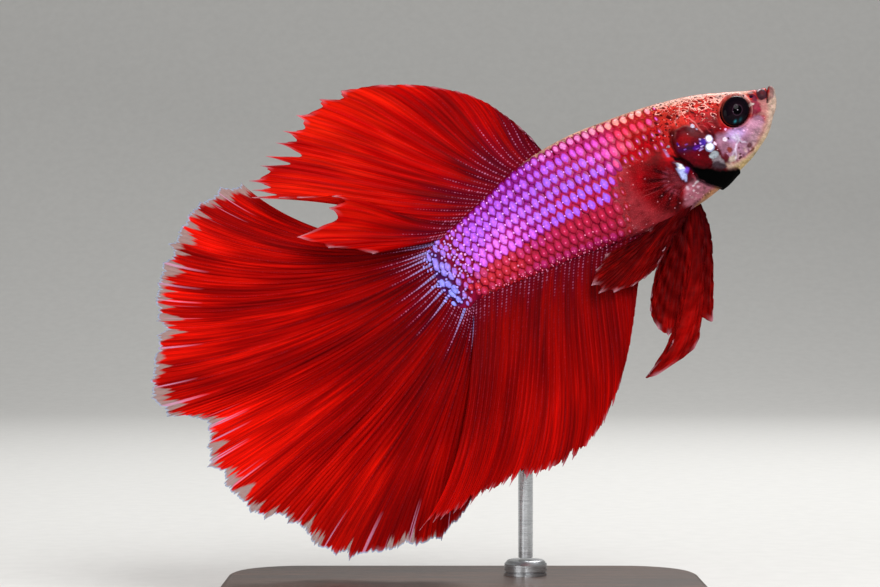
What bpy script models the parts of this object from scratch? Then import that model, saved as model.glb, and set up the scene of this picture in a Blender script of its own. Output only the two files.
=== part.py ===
"""Life-size display model of a male halfmoon betta, swimming nose-up, on a flat stand with one bent rod.

Lengths are in metres in the world and in millimetres in the fish's own frame. The fish frame starts at the
tip of the snout: "a" runs tailwards along the body axis, "h" runs towards the back, "y" is the fish's left.
"""

import math

import bpy
import bmesh
import numpy as np
from mathutils import Vector

MM = 0.001
GAP = 0.25  # between neighbouring solids, mm

# ---- the pose: where the snout is, and how far the nose points up
SNOUT_X, SNOUT_Z = 37.0, 62.0  # mm, above the centre of the stand's foot
NOSE_UP = math.radians(29.3)
TAIL_SWAY, SWAY_START, BODY_LENGTH = 1.2, 15.0, 44.5  # the tail swings this far to the fish's left, mm

# ---- the body: station along the axis, back line, belly line, half width, all mm
STATIONS = np.array(
    [
        (-0.65, 0.95, 0.3, 0.4),
        (-0.4, 1.15, -0.35, 0.75),
        (0.1, 1.35, -1.2, 1.1),
        (1.0, 1.65, -2.1, 1.5),
        (2.5, 2.2, -3.6, 2.05),
        (3.9, 2.9, -4.4, 2.45),
        (5.6, 3.7, -5.2, 2.8),
        (8.4, 4.9, -6.0, 3.2),
        (11.5, 5.8, -6.7, 3.5),
        (14.4, 6.6, -7.1, 3.6),
        (19.5, 7.5, -7.1, 3.5),
        (23.3, 8.0, -6.5, 3.35),
        (26.7, 8.1, -5.9, 3.1),
        (31.3, 7.7, -5.2, 2.7),
        (35.4, 6.7, -4.8, 2.2),
        (39.5, 5.7, -4.3, 1.7),
        (42.7, 5.0, -4.2, 1.25),
        (44.4, 4.6, -4.5, 0.8),
        (45.0, 3.1, -3.1, 0.45),
    ]
)
BODY_RINGS, BODY_SEGMENTS = 34, 26
FRONT_ROUNDNESS, REAR_ROUNDNESS = 1.0, 1.3  # 1 is an ellipse; more makes sharper back and belly edges

# ---- where thin cuts part the body, as side-view outlines (a, h), mm
FAR = 12.0  # cutting prisms reach this far past the body
MOUTH_SLIT = [(-2, 3.0), (-0.15, 1.3), (0.5, 0.7), (1.1, 0.0)]
LOWER_JAW_CUT = [*MOUTH_SLIT, (2.3, -0.9), (4.4, -2.9), (7.0, -4.9), (7.3, -5.7), (6.9, -FAR), (-2, -FAR)]
UPPER_LIP_CUT = [*MOUTH_SLIT, (1.5, 0.5), (1.4, 1.2), (1.15, 1.75), (1.1, 4.0)]
GILL_SLIT = [(12.3, -4.0), (11.5, -5.5), (10.3, -6.6), (10.1, -FAR)]
THROAT_CUT = [*GILL_SLIT, (7.1, -FAR), (7.5, -5.8), (8.7, -5.0), (10.2, -4.05), (11.6, -3.3), (12.4, -2.8)]
HEAD_REAR_CUT = [(11.0, FAR), (12.2, 4.8), (13.4, 2.4), (13.8, -0.6), (13.1, -2.7), *GILL_SLIT]
THROAT_SAG, SAG_MIDDLE, SAG_SPREAD = 0.75, 9.3, 1.6  # the membrane hangs this far below the throat's line
MID_CUT = [(22.4, FAR), (24.4, 2.0), (27.2, -FAR)]
STALK_CUT = [(36.4, FAR), (37.4, 1.5), (38.0, -FAR)]

GILL_COVER = {"a": 11.0, "h": -0.6, "half_a": 2.1, "half_h": 2.75, "lean_deg": 12, "inner_y": 2.15}
EYE = {"a": 4.9, "h": 0.72, "y": 2.2, "half_a": 1.86, "half_h": 1.66, "depth": 0.85, "turn_deg": 13}
SOCKET_FLARE = 1.5  # how far the straight wall of the eye socket reaches outwards

# ---- fins: the tips (a, h) of rays spaced evenly along the fin's root, front first, mm
DORSAL_TIPS = [
    *[(27.7, 9.9), (28.9, 13.4), (30.8, 17.0), (33.6, 20.0), (38.0, 23.1), (44.2, 25.9), (50.7, 26.9)],
    *[(54.9, 25.3), (57.0, 24.0), (59.9, 22.6), (60.6, 20.6), (57.0, 18.2), (52.8, 15.4), (55.4, 12.6)],
    (52.2, 7.6),
]
ANAL_TIPS = [
    *[(24.4, -10.8), (29.8, -17.9), (34.4, -22.6), (38.7, -25.4), (42.7, -26.6), (46.6, -26.3)],
    *[(50.0, -25.4), (53.3, -25.0), (56.4, -25.0), (59.4, -24.9), (62.4, -24.5)],
]
PELVIC_HANGING_TIPS = [
    *[(19.2, -20.2), (21.4, -21.2), (25.4, -22.6), (30.4, -22.4)],
    *[(26.0, -19.4), (25.2, -16.4), (22.8, -12.2)],
]
PELVIC_SWEPT_TIPS = [
    *[(20.8, -9.9), (23.0, -11.4), (25.6, -11.9), (28.2, -11.7)],
    *[(30.4, -10.6), (29.6, -9.0), (27.5, -7.9)],
]
# the tail fin and the pectoral fins are fans: each ray's angle in degrees, and its reach from the fan's
# centre in mm
CAUDAL_CENTRE = (44.2, 0.0)
CAUDAL_FAN = [
    *[(54, 28.4), (47, 32.0), (40, 33.8), (33, 35.2), (26, 36.6), (19, 36.6), (12, 38.6), (5, 39.6)],
    *[(-1, 35.2), (-7, 37.4), (-14, 37.8), (-21, 37.9), (-28, 36.0), (-35, 37.3), (-42, 36.4)],
    *[(-50, 34.2), (-58, 32.6), (-67, 29.6)],
]
PECTORAL_CENTRE = (14.9, -3.6)
PECTORAL_FAN = [(56, 6.4), (38, 7.8), (20, 8.5), (3, 8.6), (-13, 8.3), (-28, 7.2)]
PECTORAL_FLARE = math.radians(21)  # how far the pectoral fins stand off the body
FIN_THICK_ROOT, FIN_THICK_EDGE = 0.8, 0.5

# ---- the stand, mm
BASE_LENGTH, BASE_WIDTH, BASE_HEIGHT, BASE_CORNER, BASE_BEVEL = 58.0, 34.0, 4.0, 9.0, 0.8
COLLAR_RADIUS, COLLAR_HEIGHT = 2.6, 1.6
ROD_RADIUS, ROD_BEND, ROD_Y = 0.9, 2.6, 6.0
ROD_ENTRY_A, ROD_ENTRY_H, HOLE_DEPTH = 33.0, 1.2, 1.4

COLOURS = {  # base colour, roughness, metallic
    "flesh_red": ((0.60, 0.03, 0.05), 0.35, 0.0),
    "scales_violet": ((0.45, 0.12, 0.60), 0.30, 0.2),
    "chin_cream": ((0.75, 0.55, 0.42), 0.40, 0.0),
    "gill_dark": ((0.02, 0.005, 0.01), 0.40, 0.0),
    "lip_brown": ((0.30, 0.12, 0.12), 0.35, 0.0),
    "fin_red": ((0.65, 0.01, 0.01), 0.40, 0.0),
    "eye_black": ((0.01, 0.01, 0.015), 0.08, 0.0),
    "stand_wood": ((0.10, 0.05, 0.03), 0.45, 0.0),
    "stand_steel": ((0.60, 0.60, 0.62), 0.30, 1.0),
}


def smooth_through(knots, values):
    """A smooth curve through the values at the knots: cubics whose end slopes follow the neighbours."""
    knots, values = np.asarray(knots, float), np.asarray(values, float)
    slopes = np.gradient(values, knots)

    def curve(x):
        x = np.clip(x, knots[0], knots[-1])
        i = np.clip(np.searchsorted(knots, x, side="right") - 1, 0, len(knots) - 2)
        width = knots[i + 1] - knots[i]
        t = (x - knots[i]) / width
        rise = (1 + 2 * t) * (1 - t) ** 2 * values[i] + t * t * (3 - 2 * t) * values[i + 1]
        lean = t * (1 - t) ** 2 * slopes[i] - t * t * (1 - t) * slopes[i + 1]
        return rise + width * lean

    return curve


back_line = smooth_through(STATIONS[:, 0], STATIONS[:, 1])
belly_line = smooth_through(STATIONS[:, 0], STATIONS[:, 2])
half_width = smooth_through(STATIONS[:, 0], STATIONS[:, 3])


def sway(a):
    """How far the middle plane swings aside: it grows with the square of the way past the shoulder."""
    share = (np.asarray(a, float) - SWAY_START) / (BODY_LENGTH - SWAY_START)
    return TAIL_SWAY * np.clip(share, 0, 1.3) ** 2


def roundness(a):
    """The section's exponent, from an ellipse at the head to a sharper lens at the tail."""
    share = np.clip(np.asarray(a, float) / BODY_LENGTH, 0, 1)
    return FRONT_ROUNDNESS + (REAR_ROUNDNESS - FRONT_ROUNDNESS) * share


def skin_half_width(a, h):
    """Half the body's width at height h over station a."""
    middle, half = (back_line(a) + belly_line(a)) / 2, (back_line(a) - belly_line(a)) / 2
    return half_width(a) * np.clip(1 - ((h - middle) / half) ** 2, 0, 1) ** (roundness(a) / 2)


def world(a, y, h):
    """Fish frame in mm to world in metres: tailwards runs back and down, because the nose points up."""
    a, y, h = np.broadcast_arrays(np.asarray(a, float), y, h)
    x = SNOUT_X - a * math.cos(NOSE_UP) - h * math.sin(NOSE_UP)
    z = SNOUT_Z - a * math.sin(NOSE_UP) + h * math.cos(NOSE_UP)
    return np.stack([x, y, z], axis=-1) * MM


def material(name):
    if name not in bpy.data.materials:
        made = bpy.data.materials.new(name)
        made.use_nodes = True
        shader = made.node_tree.nodes["Principled BSDF"]
        colour, roughness_value, metallic = COLOURS[name]
        shader.inputs["Base Color"].default_value = (*colour, 1)
        shader.inputs["Roughness"].default_value = roughness_value
        shader.inputs["Metallic"].default_value = metallic
        made.diffuse_color = (*colour, 1)
    return bpy.data.materials[name]


def add_object(name, points, faces, finish=None):
    """A mesh object from world points, with its faces turned outwards."""
    mesh = bpy.data.meshes.new(name)
    mesh.from_pydata([tuple(p) for p in np.asarray(points, float).reshape(-1, 3)], [], faces)
    work = bmesh.new()
    work.from_mesh(mesh)
    bmesh.ops.recalc_face_normals(work, faces=work.faces)
    work.to_mesh(mesh)
    work.free()
    obj = bpy.data.objects.new(name, mesh)
    bpy.context.scene.collection.objects.link(obj)
    if finish:
        mesh.materials.append(material(finish))
        mesh.shade_smooth()
        mesh.set_sharp_from_angle(angle=math.radians(40))
    return obj


def as_cutter(obj):
    """A cutter is no part of the fish: it is left out of renders and drawn as wire."""
    obj.hide_render = True
    obj.display_type = "WIRE"
    return obj


def boolean(obj, cutter, operation):
    modifier = obj.modifiers.new(cutter.name, "BOOLEAN")
    modifier.operation = operation
    modifier.solver = "EXACT"
    modifier.object = cutter


def grid_faces(rows, columns, closed_columns=False):
    """Quads between neighbouring rows and columns of a grid whose points are stored row by row."""
    faces = []
    for r in range(rows - 1):
        here, there = r * columns, (r + 1) * columns
        for c in range(columns if closed_columns else columns - 1):
            beside = (c + 1) % columns
            faces.append((here + c, here + beside, there + beside, there + c))
    return faces


def plate_faces(count):
    """The two ends and the wall of a plate whose points are one outline, then the same one beyond it."""
    wall = [(i, (i + 1) % count, (i + 1) % count + count, i + count) for i in range(count)]
    return [tuple(range(count)), tuple(range(2 * count - 1, count - 1, -1)), *wall]


# ---------------------------------------------------------------- the body


def body_points(sag):
    """Rings across the axis, closest together at the snout. Round a ring, the turn runs from the back
    over the left side: height follows its cosine and width its sine, raised to the section's roundness.
    A sag lowers the belly line in a bell-shaped bulge under the throat."""
    share = np.linspace(0, 1, BODY_RINGS)
    first, last = STATIONS[0, 0], STATIONS[-1, 0]
    a = (first + (last - first) * (0.35 * share + 0.65 * share**1.7))[:, None]
    turn = np.linspace(0, 2 * math.pi, BODY_SEGMENTS, endpoint=False)[None, :]
    belly = belly_line(a) - sag * np.exp(-(((a - SAG_MIDDLE) / SAG_SPREAD) ** 2))
    middle, half = (back_line(a) + belly) / 2, (back_line(a) - belly) / 2
    side = np.sign(np.sin(turn)) * np.abs(np.sin(turn)) ** roundness(a)
    return world(a, half_width(a) * side + sway(a), middle + half * np.cos(turn))


def whole_body(name, finish, sag=0.0):
    """The body in one piece, closed by a flat cap at the snout and one at the root of the tail fin."""
    rings = body_points(sag)
    faces = grid_faces(BODY_RINGS, BODY_SEGMENTS, closed_columns=True)
    faces.append(tuple(range(BODY_SEGMENTS)))
    last = (BODY_RINGS - 1) * BODY_SEGMENTS
    faces.append(tuple(range(last + BODY_SEGMENTS - 1, last - 1, -1)))
    return add_object(name, rings, faces, finish)


def grown(outline, by):
    """A side-view outline with each side moved outwards by the same distance."""
    points = [Vector(p) for p in outline]
    area = sum(points[i - 1].cross(points[i]) for i in range(len(points)))
    turn = 1 if area > 0 else -1
    moved = []
    for i, here in enumerate(points):
        before = (here - points[i - 1]).normalized()
        after = (points[(i + 1) % len(points)] - here).normalized()
        out = Vector((before.y + after.y, -before.x - after.x)) * turn
        moved.append(tuple(here + out.normalized() * by / max(math.cos(before.angle(after) / 2), 0.5)))
    return moved


def prism(name, outline, y_from=-FAR, y_to=FAR):
    """A side-view outline carried straight across the body, as a cutter."""
    a, h = np.asarray(outline, float).T
    ends = [world(a, y, h) for y in (y_from, y_to)]
    return as_cutter(add_object(name, np.concatenate(ends), plate_faces(len(outline))))


def behind(cut, gap):
    """The side-view region tailwards of a cut line, moved tailwards by half the gap."""
    return [(a + gap, h) for a, h in cut] + [(BODY_LENGTH + FAR, -FAR), (BODY_LENGTH + FAR, FAR)]


def before(cut, gap):
    """The side-view region in front of a cut line, moved forwards by half the gap."""
    return [(a - gap, h) for a, h in cut] + [(-FAR, -FAR), (-FAR, FAR)]


def ellipse(spec, by=0.0, count=20):
    """The gill cover's outline in side view, leaning back at the top."""
    lean = math.radians(spec["lean_deg"])
    turns = [2 * math.pi * i / count for i in range(count)]
    outline = []
    for t in turns:
        p, q = (spec["half_a"] + by) * math.cos(t), (spec["half_h"] + by) * math.sin(t)
        a = spec["a"] + p * math.cos(lean) + q * math.sin(lean)
        outline.append((a, spec["h"] - p * math.sin(lean) + q * math.cos(lean)))
    return outline


def eye_ball(name, side, by=0.0, flare=0.0, finish=None):
    """A flattened ball, short axis across the head and turned a little forwards. Its long axis is level.
    A flare draws the outer half straight outwards, for the socket."""
    made = bmesh.new()
    bmesh.ops.create_uvsphere(made, u_segments=16, v_segments=8, radius=1)
    points = np.array([v.co for v in made.verts])
    faces = [tuple(v.index for v in f.verts) for f in made.faces]
    made.free()
    level = (EYE["half_a"] + by) * points[:, 0], (EYE["half_h"] + by) * points[:, 1]
    along = level[0] * math.cos(NOSE_UP) + level[1] * math.sin(NOSE_UP)
    up = level[1] * math.cos(NOSE_UP) - level[0] * math.sin(NOSE_UP)
    out = (EYE["depth"] + by) * points[:, 2] + flare * (points[:, 2] > 0.01)
    turn = math.radians(EYE["turn_deg"])
    a = EYE["a"] + along * math.cos(turn) - out * math.sin(turn)
    y = EYE["y"] + out * math.cos(turn) + along * math.sin(turn)
    return add_object(name, world(a, side * y, EYE["h"] + up), faces, finish)


def head_and_jaws():
    """The head with its eyes, lips, gill covers and the dark membrane under them."""
    half = GAP / 2
    head = whole_body("head", "flesh_red")
    boolean(head, prism("cut_head", before(HEAD_REAR_CUT, half)), "INTERSECT")
    for name, outline, finish, sag in (
        ("lower_jaw", LOWER_JAW_CUT, "chin_cream", 0),
        ("upper_lip", UPPER_LIP_CUT, "lip_brown", 0),
        ("gill_membrane", THROAT_CUT, "gill_dark", THROAT_SAG),
    ):
        piece = whole_body(name, finish, sag)
        boolean(piece, prism("keep_" + name, grown(outline, -half)), "INTERSECT")
        boolean(head, prism("clear_" + name, grown(outline, half)), "DIFFERENCE")
    for label, side in (("right", -1), ("left", 1)):
        inner, outer = side * GILL_COVER["inner_y"], side * FAR
        cover = whole_body("gill_cover_" + label, "flesh_red")
        boolean(cover, prism("keep_gill_" + label, ellipse(GILL_COVER), inner, outer), "INTERSECT")
        clearance = prism("clear_gill_" + label, ellipse(GILL_COVER, GAP), inner - side * GAP, outer)
        boolean(head, clearance, "DIFFERENCE")
        boolean(head, as_cutter(eye_ball("socket_" + label, side, GAP, SOCKET_FLARE)), "DIFFERENCE")
        eye_ball("eye_" + label, side, finish="eye_black")


def trunk_and_stalk():
    """The trunk in two lengths and the tail stalk. The rear one has the blind hole for the stand's rod."""
    half = GAP / 2
    front = whole_body("trunk_front", "scales_violet")
    boolean(front, prism("keep_trunk_front", behind(HEAD_REAR_CUT, half)), "INTERSECT")
    boolean(front, prism("end_trunk_front", before(MID_CUT, half)), "INTERSECT")
    rear = whole_body("trunk_rear", "scales_violet")
    boolean(rear, prism("keep_trunk_rear", behind(MID_CUT, half)), "INTERSECT")
    boolean(rear, prism("end_trunk_rear", before(STALK_CUT, half)), "INTERSECT")
    boolean(rear, socket_cutter(), "DIFFERENCE")
    stalk = whole_body("tail_stalk", "scales_violet")
    boolean(stalk, prism("keep_tail_stalk", behind(STALK_CUT, half)), "INTERSECT")


# ---------------------------------------------------------------- the fins


def ray_grid(roots, tips, heading_root, heading_tip, lengths, steps):
    """Points [ray][step] in side view: each ray is a cubic from its root to its tip, leaving and arriving
    at the given headings, and cut short at its share of the full length."""
    roots, tips = np.asarray(roots, float), np.asarray(tips, float)
    reach = np.linalg.norm(tips - roots, axis=1)[:, None]
    leave = roots + 0.35 * reach * np.stack([np.cos(heading_root), np.sin(heading_root)], 1)
    arrive = tips - 0.3 * reach * np.stack([np.cos(heading_tip), np.sin(heading_tip)], 1)
    t = (np.linspace(0, 1, steps)[None, :] ** 0.9 * lengths[:, None])[:, :, None]
    return (
        (1 - t) ** 3 * roots[:, None]
        + 3 * t * (1 - t) ** 2 * leave[:, None]
        + 3 * t * t * (1 - t) * arrive[:, None]
        + t**3 * tips[:, None]
    ), t[:, :, 0]


def ragged(tip_count, notch, vary):
    """(shares, lengths) of the rays: every second ray is a tip, and the web between falls back by a notch.
    Notches and tips differ along the fin by two sines that never fall in step."""
    number = np.arange(2 * tip_count - 1)
    uneven = 0.6 * np.sin(2.4 * number) + 0.4 * np.sin(1.7 * number + 1)
    tip, web = 1 - vary * (1 + uneven) / 2, 1 - notch * (1 + 0.45 * uneven)
    return number / (2 * tip_count - 2), np.where(number % 2 == 0, tip, web)


def fin_solid(name, side_view, y, steps_done, finish="fin_red"):
    """A closed sheet round a grid of middle points: both faces lie half its thickness off along the sheet's
    normal, thicker at the root, and a strip closes the rim."""
    middle = world(side_view[..., 0], y, side_view[..., 1])
    across, along = np.gradient(middle, axis=0), np.gradient(middle, axis=1)
    normal = np.cross(across, along)
    normal /= np.linalg.norm(normal, axis=2, keepdims=True)
    thick = (FIN_THICK_ROOT + (FIN_THICK_EDGE - FIN_THICK_ROOT) * np.clip(2 * steps_done, 0, 1)) * MM
    offset = normal * thick[..., None] / 2
    rays, steps = middle.shape[:2]
    count = rays * steps
    faces = grid_faces(rays, steps)
    faces += [tuple(i + count for i in reversed(f)) for f in faces]
    rim = [r * steps for r in range(rays)]
    rim += [(rays - 1) * steps + s for s in range(1, steps)]
    rim += [r * steps + steps - 1 for r in range(rays - 2, -1, -1)]
    rim += list(range(steps - 2, 0, -1))
    faces += [(rim[i - 1], rim[i], rim[i] + count, rim[i - 1] + count) for i in range(len(rim))]
    both = np.concatenate([(middle + offset).reshape(-1, 3), (middle - offset).reshape(-1, 3)])
    return add_object(name, both, faces, finish)


def tips_at(rows, shares):
    """The tips of rays at these shares of the root, on smooth curves through the rows."""
    rows = np.asarray(rows, float)
    knots = np.linspace(0, 1, len(rows))
    return np.stack([smooth_through(knots, rows[:, i])(shares) for i in (0, 1)], 1)


def fan_tips_at(rows, centre, shares):
    """The tips of a fan's rays, from the angles and reaches in its rows."""
    angle, reach = tips_at(rows, shares).T
    angle = np.radians(angle)
    return np.stack([centre[0] + reach * np.cos(angle), centre[1] + reach * np.sin(angle)], 1)


def headings(start_deg, end_deg, shares):
    """A heading for each ray, in radians, that turns evenly from the first to the last."""
    return np.radians(start_deg + (end_deg - start_deg) * shares)


def dorsal_fin():
    """The back fin, its rear half swung to the fish's right, over the tail fin's upper edge."""
    shares, lengths = ragged(15, 0.10, 0.05)
    a = 27.1 + 15.1 * shares
    roots = np.stack([a, back_line(a) + GAP], 1)
    tips = tips_at(DORSAL_TIPS, shares)
    side, done = ray_grid(roots, tips, headings(70, 8, shares), headings(62, 12, shares), lengths, 8)
    u = shares[:, None]
    y = sway(a)[:, None] - done**1.3 * (0.5 + 3.2 * u**2) + 0.55 * done**1.6 * np.sin(2 * math.pi * 2.3 * u)
    fin_solid("dorsal_fin", side, y, done)


def caudal_fin():
    """The half-moon tail fin, pleated in broad folds, rooted round the end of the stalk."""
    shares, lengths = ragged(34, 0.075, 0.045)
    turn = np.radians(97 - 192 * shares)
    roots = np.stack([44.0 + 1.55 * np.cos(turn), 5.0 * np.sin(turn)], 1)
    tips = fan_tips_at(CAUDAL_FAN, CAUDAL_CENTRE, shares)
    bow = np.radians(12 * (1 - shares) ** 6)
    leave, arrive = headings(26, -64, shares) - bow, headings(68, -62, shares) + bow
    side, done = ray_grid(roots, tips, leave, arrive, lengths, 7)
    u = shares[:, None]
    y = sway(BODY_LENGTH) + done**1.4 * (0.9 + 0.9 * u**2) + 0.95 * done**1.5 * np.cos(2 * math.pi * 4 * u)
    fin_solid("caudal_fin", side, y, done)


def anal_fin():
    """The long fin under the belly. Its rear edge swings to the fish's right, over the tail fin's edge."""
    shares, lengths = ragged(20, 0.07, 0.04)
    a = 20.6 + 21.6 * shares
    roots = np.stack([a, belly_line(a) - GAP], 1)
    tips = tips_at(ANAL_TIPS, shares)
    side, done = ray_grid(roots, tips, headings(-46, -60, shares), headings(-52, -20, shares), lengths, 7)
    u = shares[:, None]
    fold = np.sin(2 * math.pi * (2.6 * u + 0.3))
    y = sway(a)[:, None] - done * (0.3 + 3.0 * u**2) + 0.5 * done**1.5 * fold
    fin_solid("anal_fin", side, y, done)


def pelvic_fins():
    """The left one hangs down and ends in a long curled tip; the right one is swept back at the belly."""
    shares, lengths = ragged(7, 0.12, 0.03)
    u = shares[:, None]
    a = 13.7 + 1.6 * shares
    roots = np.stack([a, belly_line(a) - GAP], 1)
    tips = tips_at(PELVIC_HANGING_TIPS, shares)
    side, done = ray_grid(roots, tips, headings(-96, -22, shares), headings(-64, -50, shares), lengths, 8)
    y = 0.9 + 0.5 * done + 0.7 * done**1.2 * np.sin(2 * math.pi * (1.4 * u + 0.1))
    fin_solid("pelvic_fin_left", side, y, done)
    a = 14.6 + 1.8 * shares
    roots = np.stack([a, belly_line(a) - GAP], 1)
    tips = tips_at(PELVIC_SWEPT_TIPS, shares)
    side, done = ray_grid(roots, tips, headings(-36, -10, shares), headings(-26, 2, shares), lengths, 7)
    y = -0.9 - 1.1 * done - 0.3 * done * np.sin(2 * math.pi * 1.5 * u)
    fin_solid("pelvic_fin_right", side, y, done)


def pectoral_fins():
    """The clear fins behind the gill covers, each a fan standing off the body."""
    shares, lengths = ragged(7, 0.05, 0.02)
    roots = np.stack([14.6 + 0.1 * shares, -2.6 - 1.6 * shares], 1)
    tips = fan_tips_at(PECTORAL_FAN, PECTORAL_CENTRE, shares)
    angle = np.radians(tips_at(PECTORAL_FAN, shares)[:, 0])
    side, done = ray_grid(roots, tips, angle, angle, lengths, 6)
    out = np.linalg.norm(side - side[:, :1], axis=2) * math.tan(PECTORAL_FLARE)
    clear = skin_half_width(roots[:, 0], roots[:, 1])[:, None] + GAP + FIN_THICK_ROOT / 2
    for label, hand in (("right", -1), ("left", 1)):
        fin_solid("pectoral_fin_" + label, side, hand * (clear + out), done)


# ---------------------------------------------------------------- the stand


def rod_end():
    """Where the rod stops inside the fish: the bottom of its blind hole, less the gap, in world mm."""
    x, _, z = world(ROD_ENTRY_A, 0, ROD_ENTRY_H) / MM
    skin = float(skin_half_width(ROD_ENTRY_A, ROD_ENTRY_H) + sway(ROD_ENTRY_A))
    return x, skin - HOLE_DEPTH + GAP, z


def rod_route():
    """Up from the collar, round one bend, then level into the fish's left flank."""
    x, y, z = rod_end()
    turns = [math.pi / 2 * i / 8 for i in range(9)]
    bend = [(x, ROD_Y - ROD_BEND * (1 - math.cos(t)), z - ROD_BEND * (1 - math.sin(t))) for t in turns]
    return [(x, ROD_Y, BASE_HEIGHT + COLLAR_HEIGHT + 2 * GAP), *bend, (x, y, z)]


def tube(name, route, radius, finish):
    curve = bpy.data.curves.new(name, "CURVE")
    curve.dimensions = "3D"
    curve.bevel_depth = radius * MM
    curve.bevel_resolution = 4
    curve.use_fill_caps = True
    spline = curve.splines.new("POLY")
    spline.points.add(len(route) - 1)
    for point, place in zip(spline.points, route):
        point.co = (*(c * MM for c in place), 1)
    curve.materials.append(material(finish))
    obj = bpy.data.objects.new(name, curve)
    bpy.context.scene.collection.objects.link(obj)
    return obj


def cylinder(name, centre, radius, height, axis="z", count=32, finish=None):
    """A cylinder standing on its centre point, along z, or along y for the rod's blind hole."""
    turns = np.linspace(0, 2 * math.pi, count, endpoint=False)
    ring = np.stack([radius * np.cos(turns), radius * np.sin(turns), 0 * turns], 1)
    points = np.concatenate([ring, ring + (0, 0, height)])
    if axis == "y":
        points = points[:, [0, 2, 1]]
    return add_object(name, (points + np.asarray(centre)) * MM, plate_faces(count), finish)


def socket_cutter():
    x, y, z = rod_end()
    return as_cutter(cylinder("rod_hole", (x, y - GAP, z), ROD_RADIUS + GAP, FAR, axis="y", count=16))


def stand():
    """A flat plate with round corners, a collar, and one rod."""
    straight_x, straight_y = BASE_LENGTH / 2 - BASE_CORNER, BASE_WIDTH / 2 - BASE_CORNER
    outline = []
    for side_x, side_y, start in ((1, 1, 0), (-1, 1, 90), (-1, -1, 180), (1, -1, 270)):
        for step in range(9):
            turn = math.radians(start + 90 * step / 8)
            x = side_x * straight_x + BASE_CORNER * math.cos(turn)
            outline.append((x, side_y * straight_y + BASE_CORNER * math.sin(turn)))
    points = [(x * MM, y * MM, z * MM) for z in (0, BASE_HEIGHT) for x, y in outline]
    base = add_object("stand_base", points, plate_faces(len(outline)), "stand_wood")
    bevel = base.modifiers.new("eased edge", "BEVEL")
    bevel.width = BASE_BEVEL * MM
    bevel.segments = 2
    bevel.limit_method = "ANGLE"
    x = rod_end()[0]
    centre = (x, ROD_Y, BASE_HEIGHT + GAP)
    cylinder("stand_collar", centre, COLLAR_RADIUS, COLLAR_HEIGHT, finish="stand_steel")
    tube("stand_rod", rod_route(), ROD_RADIUS, "stand_steel")


def main():
    for obj in list(bpy.data.objects):
        bpy.data.objects.remove(obj)
    head_and_jaws()
    trunk_and_stalk()
    dorsal_fin()
    caudal_fin()
    anal_fin()
    pelvic_fins()
    pectoral_fins()
    stand()


main()
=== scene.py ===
import math
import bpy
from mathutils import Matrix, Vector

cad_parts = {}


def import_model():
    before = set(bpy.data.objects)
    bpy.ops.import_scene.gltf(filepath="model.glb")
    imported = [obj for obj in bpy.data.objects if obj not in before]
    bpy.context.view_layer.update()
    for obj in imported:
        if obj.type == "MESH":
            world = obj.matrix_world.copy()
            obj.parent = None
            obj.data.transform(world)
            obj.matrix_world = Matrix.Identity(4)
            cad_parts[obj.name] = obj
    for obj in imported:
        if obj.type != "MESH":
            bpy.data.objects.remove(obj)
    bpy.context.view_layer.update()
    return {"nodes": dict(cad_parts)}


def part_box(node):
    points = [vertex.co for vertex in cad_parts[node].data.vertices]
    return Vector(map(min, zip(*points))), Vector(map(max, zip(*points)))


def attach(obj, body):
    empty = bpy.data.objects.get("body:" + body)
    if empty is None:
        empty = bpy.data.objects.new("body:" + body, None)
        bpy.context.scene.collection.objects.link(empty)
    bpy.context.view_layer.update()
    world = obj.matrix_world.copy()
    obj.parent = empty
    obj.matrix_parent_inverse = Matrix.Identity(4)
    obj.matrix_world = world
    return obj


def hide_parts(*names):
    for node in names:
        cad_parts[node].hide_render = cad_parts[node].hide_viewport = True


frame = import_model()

from types import SimpleNamespace

import bpy
import numpy as np
from mathutils import Vector

# ---------------------------------------------------------------- the skin
# The betta's naked skin in one piece, from the lips to the root of the tail fin. It is cast in tinted
# resin, painted, and varnished wet. Lengths are millimetres in the fish's own frame: a runs tailwards from
# the snout, h towards the back, and y is the fish's left.

MM = 0.001
SNOUT_X, SNOUT_Z = 37.0, 62.0
NOSE_UP = math.radians(29.3)
TAIL_SWAY, SWAY_START, BODY_LENGTH = 1.2, 15.0, 44.5
COAT_DEPTH = 0.12  # the scales stand this far off the skin
FRONT_ROUNDNESS, REAR_ROUNDNESS = 1.0, 1.3
STATIONS = np.array(
    [  # a, back, belly, half width
        *[(-0.74, 0.66, 0.6, 0.03), (-0.65, 0.95, 0.3, 0.4), (-0.4, 1.15, -0.35, 0.75)],
        *[(0.1, 1.35, -1.2, 1.1), (1.0, 1.65, -2.1, 1.5), (2.5, 2.2, -3.6, 2.05), (3.9, 2.9, -4.4, 2.45)],
        *[(5.6, 3.7, -5.2, 2.8), (8.4, 4.9, -6.0, 3.2), (11.5, 5.8, -6.7, 3.5), (14.4, 6.6, -7.1, 3.6)],
        *[(19.5, 7.5, -7.1, 3.5), (23.3, 8.0, -6.5, 3.35), (26.7, 8.1, -5.9, 3.1), (31.3, 7.7, -5.2, 2.7)],
        *[(35.4, 6.7, -4.8, 2.2), (39.5, 5.7, -4.3, 1.7), (42.7, 5.0, -4.2, 1.25), (44.4, 4.6, -4.5, 0.8)],
        *[(45.4, 4.15, -4.1, 0.46), (46.3, 3.3, -3.25, 0.33)],
        *[(46.9, 2.1, -2.1, 0.26), (47.2, 0.1, -0.1, 0.02)],
    ]
)
SKIN_PLACES = np.concatenate(
    [np.linspace(-0.74, -0.6, 8)[:-1], np.linspace(-0.6, 14.2, 150)[:-1], np.linspace(14.2, 47.2, 126)]
)
SKIN_TURNS = 280

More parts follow.
